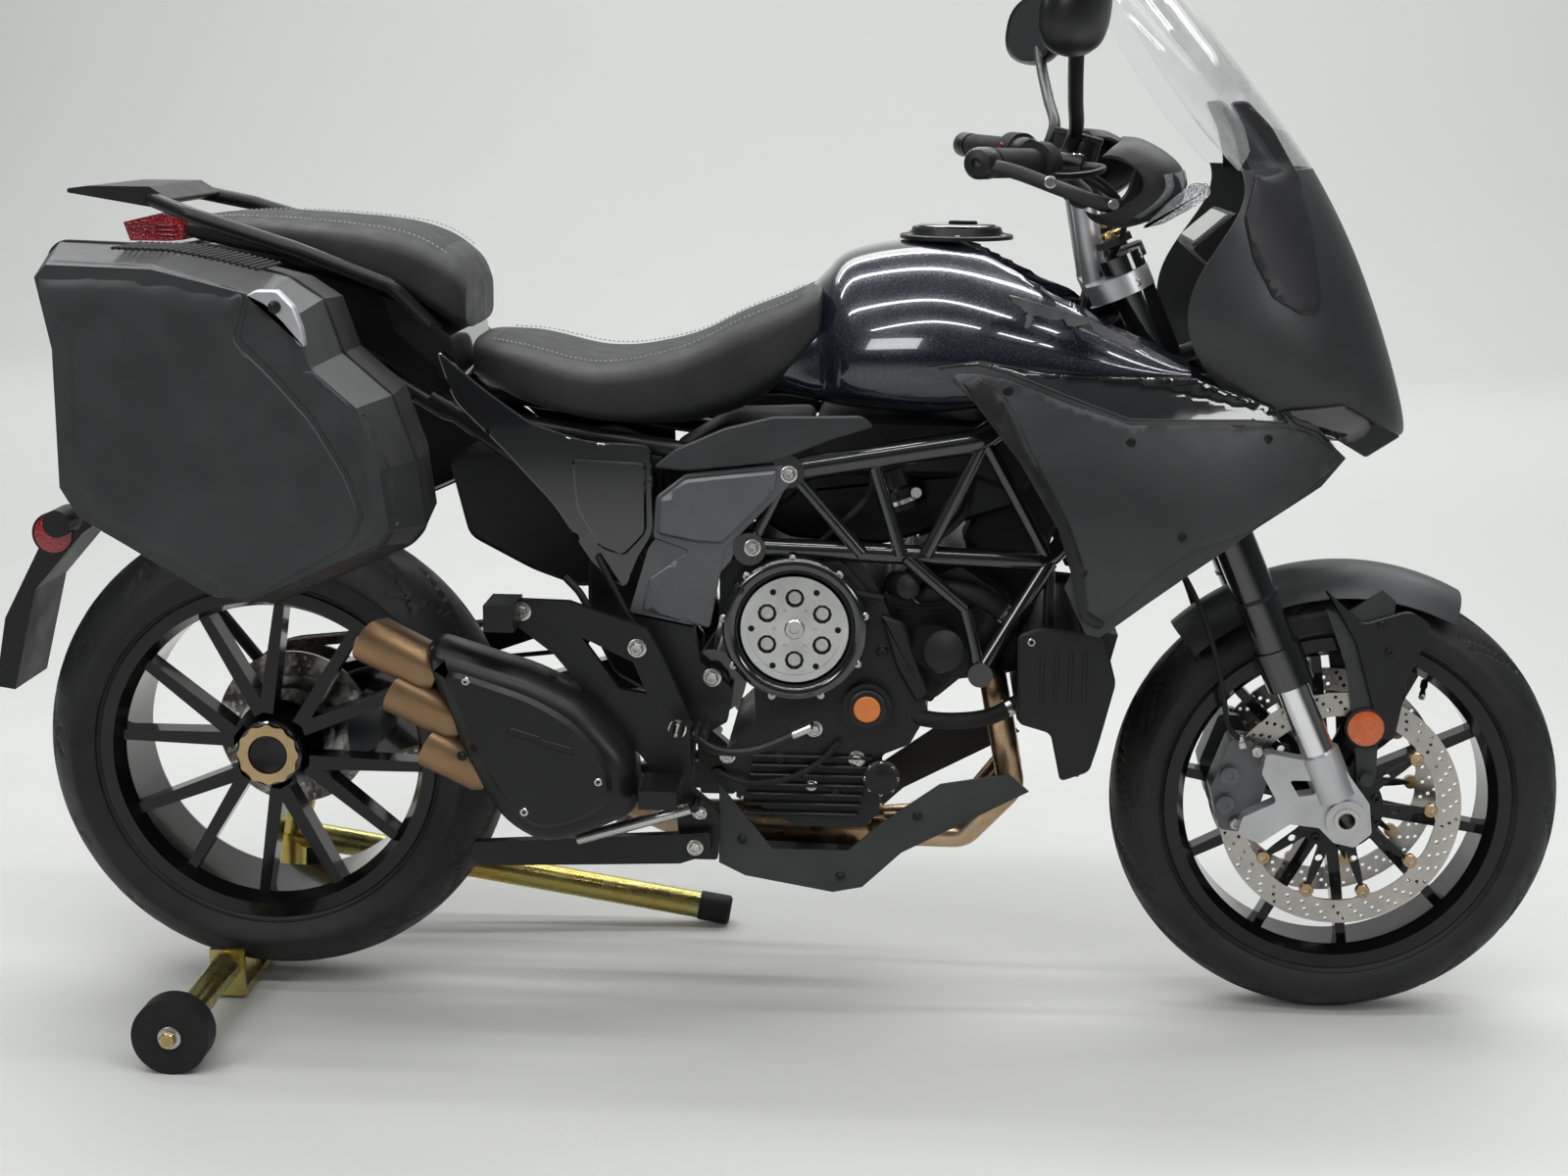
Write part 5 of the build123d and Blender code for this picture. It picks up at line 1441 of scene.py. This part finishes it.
def silencer_piece():
    """Silencer with a rounded shell, a raised cover and slots, and three slash-cut tips."""
    outline = [(-432, 518), (-424, 545), (-370, 528), (-290, 504), (-222, 470), (-163, 402),
               (-157, 323), (-228, 290), (-280, 276), (-331, 305), (-374, 372), (-400, 440)]
    line = anticlockwise(resampled(filleted(outline, 24), 9))
    made = Batch("silencer_shell", ("satin", "plastic", "steel"))
    rings = []
    for y, inset in ((-168, 14), (-172, 5), (-182, 0), (-226, 0), (-240, 3), (-251, 9), (-258, 18),
                     (-262, 30)):
        rings.append([Vector((p.x + n.x * inset, y, p.y + n.y * inset))
                      for p, n in zip(line, inward(line, 2))])
    made.rings(rings, 0)
    cover = [(-404, 516), (-352, 500), (-286, 478), (-232, 446), (-192, 396), (-186, 344),
             (-232, 316), (-280, 304), (-316, 326), (-352, 384), (-384, 450)]
    made.plate(cover, -270, -258, 6, 0, 26)
    for k in range(2):
        low = Vector((-318 + 40 * k, 442 - 14 * k))
        slot = [low + Vector(p) for p in ((0, 0), (42, -12), (42, -22), (-4, -9))]
        made.plate(slot, -272.5, -268, 1.5, 1, 3)
    for x, z in ((-372, 500), (-205, 372), (-300, 330)):
        made.turned((x, -268, z), (0, -1, 0), bolt_profile(5.5, 4.5), 20, 2)
    made.done(sharp=38, replaced=("silencer",))
    tips = Batch("slash_cut_tips", ("bronze", "satin"))
    across, tip_y = Vector((0, 1, 0)), -214
    stations = ((0, 26, 0), (0.12, 32, 0), (0.9, 33, 0.7), (0.93, 33, 1), (0.935, 30, 1),
                (0.4, 29, 0.2))
    for mouth, root in (((-520, 548), (-430, 504)), ((-482, 480), (-398, 440)),
                        ((-438, 408), (-366, 374))):
        start = Vector((root[0] + 14, tip_y, root[1] - 8))
        run = Vector((mouth[0], tip_y, mouth[1])) - start
        n = unit(run)
        up = unit(across.cross(n))
        if up.z < 0:
            up = -up
        loops = []
        for t, r, slash in stations:
            ring = []
            for a in angles(48):
                y = 38 * power(math.cos(a), 0.8) * r / 33
                h = 31 * power(math.sin(a), 0.8) * r / 33
                along = run.length * t + slash * (-y * 0.42 - 14)
                ring.append(start + n * max(along, 0) + up * h + across * y)
            loops.append(ring)
        tips.rings(loops, 0)
        tips.turned(start + n * (run.length * 0.36), n, [(28, 0), (28, 1), (0, 1)], 32, 1)
    tips.done(sharp=40, replaced=("exhaust_tips",))


def inner_pieces():
    """Dark parts inside the frame and behind the fairings that close the view through."""
    made = Batch("inner_fillers", ("plastic", "engine", "satin"))
    blocks = (
        ([(40, 742), (262, 742), (330, 716), (352, 760), (330, 806), (250, 818), (60, 818)],
         -96, 96, 8, 0, 16),
        ([(-140, 668), (20, 700), (60, 740), (50, 812), (-60, 808), (-140, 760)], -84, 84,
         6, 0, 12),
        ([(214, 452), (330, 470), (350, 560), (372, 660), (420, 760), (330, 742), (270, 690),
          (232, 600)], -40, 40, 6, 0, 12),
        ([(-60, 704), (20, 652), (150, 644), (330, 700), (356, 760), (262, 744), (40, 744)],
         -56, 56, 6, 1, 12),
        ([(-428, 752), (-220, 782), (-160, 760), (-158, 650), (-196, 604), (-250, 580),
          (-318, 604), (-402, 648)], -74, 74, 6, 0, 14),
        ([(-240, 640), (-170, 640), (-118, 560), (-100, 500), (-150, 440), (-206, 470),
          (-240, 540)], -100, -60, 5, 1, 12),
        ([(146, 596), (250, 640), (310, 600), (322, 560), (300, 520), (216, 446), (190, 470)],
         -118, 118, 9, 1, 12),
        ([(160, 612), (258, 652), (276, 640), (180, 600)], -104, 104, 4, 2, 6),
        *(([(2 * k - 30, z), (122 + 3 * k, z), (122 + 3 * k, z + 4.5), (2 * k - 30, z + 4.5)],
           -150, -138, 1.2, 1, 1.5) for k, z in enumerate(range(296, 387, 13))),
        ([(-46, 606), (-20, 640), (96, 640), (132, 600), (120, 592), (90, 624), (-12, 624),
          (-36, 596)], -152, -140, 3, 1, 8),
        ([(146, 570), (178, 560), (214, 466), (196, 452), (168, 500)], -152, -138, 4, 1, 8))
    for block in blocks:
        made.plate(*block)
    made.done(sharp=34)
    rad = Batch("radiator_shrouds", ("plastic", "steel"))
    shroud = [(322, 556), (349, 567), (432, 559), (449, 496), (430, 416), (419, 378), (382, 364),
              (368, 428), (326, 440)]
    for side in (-1, 1):
        rad.side_plate(shroud, side, 186, 194, 3, 0, 8)
        for k in range(4):
            x = 352 + 18 * k
            louvre = [(x, 470), (x + 5, 470), (x + 5, 536), (x, 536)]
            rad.side_plate(louvre, side, 193, 196, 1.0, 0, 2)
        rad.turned((340, side * 192, 548), (0, side, 0), bolt_profile(5.5, 4), 20, 1)
    rad.done(sharp=34)


def front_pieces():
    """Screen blades, gloss nose sides, strakes on the side fairings and fork guards."""
    blade = [(566, 1222), (588, 1224), (620, 1192), (655, 1134), (674, 1074), (684, 990),
             (682, 966), (657, 968), (622, 988), (596, 1035), (584, 1083), (597, 1130), (583, 1188)]
    gloss = [(566, 822), (606, 832), (649, 847), (722, 853), (800, 810), (758, 782), (714, 808),
             (652, 827)]
    guard = [(722, 604), (768, 530), (784, 478), (808, 399), (826, 399), (838, 478), (866, 556),
             (835, 576), (776, 556)]
    strake = [(266, 890), (296, 868), (330, 800), (378, 714), (398, 660), (406, 600), (430, 582),
              (420, 574), (398, 586), (386, 640), (366, 704), (318, 784), (268, 846), (244, 880)]
    nose = tree_of("nose_fairing")
    for side, word in SIDES:
        made = Batch("nose_trim_" + word, ("dark_grey", "gloss", "satin", "clear"))
        skin(made, blade, Over(nose, side, 122), lift=4, thick=6, step=9, corner=6, relax=1,
             edge=1.8, look=0)
        skin(made, gloss, Over(nose, side, 124), lift=4, thick=5, step=6, corner=4, relax=0,
             edge=1.2, look=1)
        made.done(sharp=36)
        ridge = Batch("fairing_strake_" + word, "satin")
        skin(ridge, strake, Side(tree_of("side_fairings"), side), lift=8.5, thick=9, step=8,
             corner=4, relax=2, edge=3.2)
        ridge.done(sharp=36)
        shield = Batch("fork_guard_" + word, "satin", "steering")
        shield.side_plate(guard, side, 79, 84, 2, 0, 10)
        for x, z in ((800, 556), (812, 520)):
            shield.turned((x, side * 84, z), (0, side, 0), bolt_profile(5, 4), 20)
        shield.done(sharp=34)


def foot_pieces():
    """Brake and shift pedals, and the ribs of the foot rubbers."""
    made = Batch("foot_controls", ("satin", "steel", "rubber"))
    brake = [(-96, -198, 420), (-60, -206, 400), (-14, -212, 402), (30, -214, 420), (52, -214, 432)]
    made.tube(smooth_path(brake, 8), 6.5, 14, 0, flat=0.7)
    made.plate([(40, 424), (66, 436), (62, 444), (36, 432)], -236, -200, 2, 1, 3)
    shift = [(-96, 198, 420), (-50, 206, 408), (0, 210, 414), (44, 212, 430)]
    made.tube(smooth_path(shift, 8), 6, 14, 0, flat=0.7)
    made.tube([(44, 200, 430), (44, 244, 430)], 8.5, 18, 2)
    for side in (-1, 1):
        for k in range(5):
            x = 11 * k - 116
            rib = [(x, 428), (x + 5, 428), (x + 5, 440), (x, 440)]
            made.side_plate(rib, side, 214, 262, 1.0, 2, 1)
    made.done(sharp=36)


# -------------------- stage and light
def make_stage():
    """Pale floor that rises into a backdrop, in metres."""
    sheet = bpy.data.meshes.new("floor")
    reach, back, rise, steps, top = 16.0, 11.0, 3.5, 14, 10.0
    line = [(-reach, 0.0), (back - rise, 0.0)]
    line += [(back - rise + rise * math.sin(a), rise - rise * math.cos(a))
             for a in (math.pi / 2 * k / steps for k in range(1, steps + 1))]
    line += [(back, top)]
    verts = [(x, y, z) for y, z in line for x in (-reach, reach)]
    faces = [(2 * k, 2 * k + 1, 2 * k + 3, 2 * k + 2) for k in range(len(line) - 1)]
    sheet.from_pydata(verts, [], faces)
    floor = bpy.data.objects.new("floor", sheet)
    for face in sheet.polygons:
        face.use_smooth = True
    scene.collection.objects.link(floor)
    made = Nodes("pale_floor").set(ior=1.45)
    made.tones((0.545, 0.55, 0.535), 0.004, 1.5)
    made.shader.inputs["Roughness"].default_value = 0.5
    sheet.materials.append(made.material)


def area_light(name, location, target, size, watts, size_y):
    """Rectangular lamp that looks at a target."""
    data = bpy.data.lights.new(name, "AREA")
    data.shape = "RECTANGLE"
    data.size = size
    data.size_y = size_y
    data.energy = watts
    lamp = bpy.data.objects.new(name, data)
    lamp.location = location
    aim = Vector(target) - Vector(location)
    lamp.rotation_mode = "QUATERNION"
    lamp.rotation_quaternion = aim.to_track_quat("-Z", "Y")
    scene.collection.objects.link(lamp)


def light_scene():
    """Workshop tubes overhead, washes for floor and backdrop, key, fill and a grey world."""
    for k, y in enumerate((-2.4, -0.9, 0.6, 2.1)):
        area_light(f"tube_{k}", (0.0, y, 3.3), (0.0, y * 0.6, 0.0), 5.6, 60, 0.12)
    area_light("backdrop_wash", (0.0, 4.6, 5.6), (0.0, 11.0, 2.4), 12.0, 470, 1.2)
    area_light("floor_wash", (0.0, 5.4, 5.2), (0.0, 5.4, 0.0), 12.0, 230, 2.0)
    area_light("key", (-2.8, -3.8, 2.7), (0.0, 0.0, 0.5), 1.6, 46, 1.0)
    area_light("fill", (3.4, -3.2, 2.0), (0.3, 0.0, 0.5), 1.4, 30, 0.9)
    world = bpy.data.worlds.new("studio")
    scene.world = world
    world.use_nodes = True
    tree = world.node_tree
    background = tree.nodes["Background"]
    background.inputs["Strength"].default_value = 0.5
    place = tree.nodes.new("ShaderNodeTexCoord")
    split = tree.nodes.new("ShaderNodeSeparateXYZ")
    ramp = tree.nodes.new("ShaderNodeValToRGB")
    tree.links.new(place.outputs["Generated"], split.inputs[0])
    tree.links.new(split.outputs["Z"], ramp.inputs["Fac"])
    tree.links.new(ramp.outputs["Color"], background.inputs["Color"])
    stops = ((0.02, (0.10, 0.105, 0.11, 1.0)), (0.75, (0.62, 0.64, 0.66, 1.0)))
    for stop, (position, colour) in zip(ramp.color_ramp.elements, stops):
        stop.position, stop.color = position, colour
    scene.view_settings.view_transform = "Standard"


tyre_piece("tyre_front", "front_tyre", "front_wheel", FRONT_AXLE, 300, 60, 38, 44, 1.25)
tyre_piece("tyre_rear", "rear_tyre", "rear_wheel", REAR_AXLE, 320, 95, 52, 76, -1.25)
fairing_pieces()
tank_pieces()
cushion("rider_cushion", "rider_seat",
        [(-392, 866, 912, 92), (-320, 832, 905, 140), (-220, 810, 886, 158),
         (-120, 806, 903, 140), (-40, 824, 940, 128), (20, 866, 964, 126), (66, 922, 986, 124)])
cushion("pillion_cushion", "pillion_seat",
        [(-768, 1038, 1058, 82), (-690, 1022, 1064, 120), (-576, 1002, 1060, 138),
         (-470, 966, 1046, 140), (-412, 930, 1014, 124), (-394, 925, 985, 100)])
pannier_pieces()
lamp_pieces()
side_cover_pieces()
bolt_pieces()
engine_pieces()
fork_pieces()
cockpit_pieces()
chain_pieces()
rear_pieces()
brake_pieces()
clutch_piece()
mirror_pieces()
guard_pieces()
silencer_piece()
inner_pieces()
front_pieces()
foot_pieces()

make_stage()
light_scene()
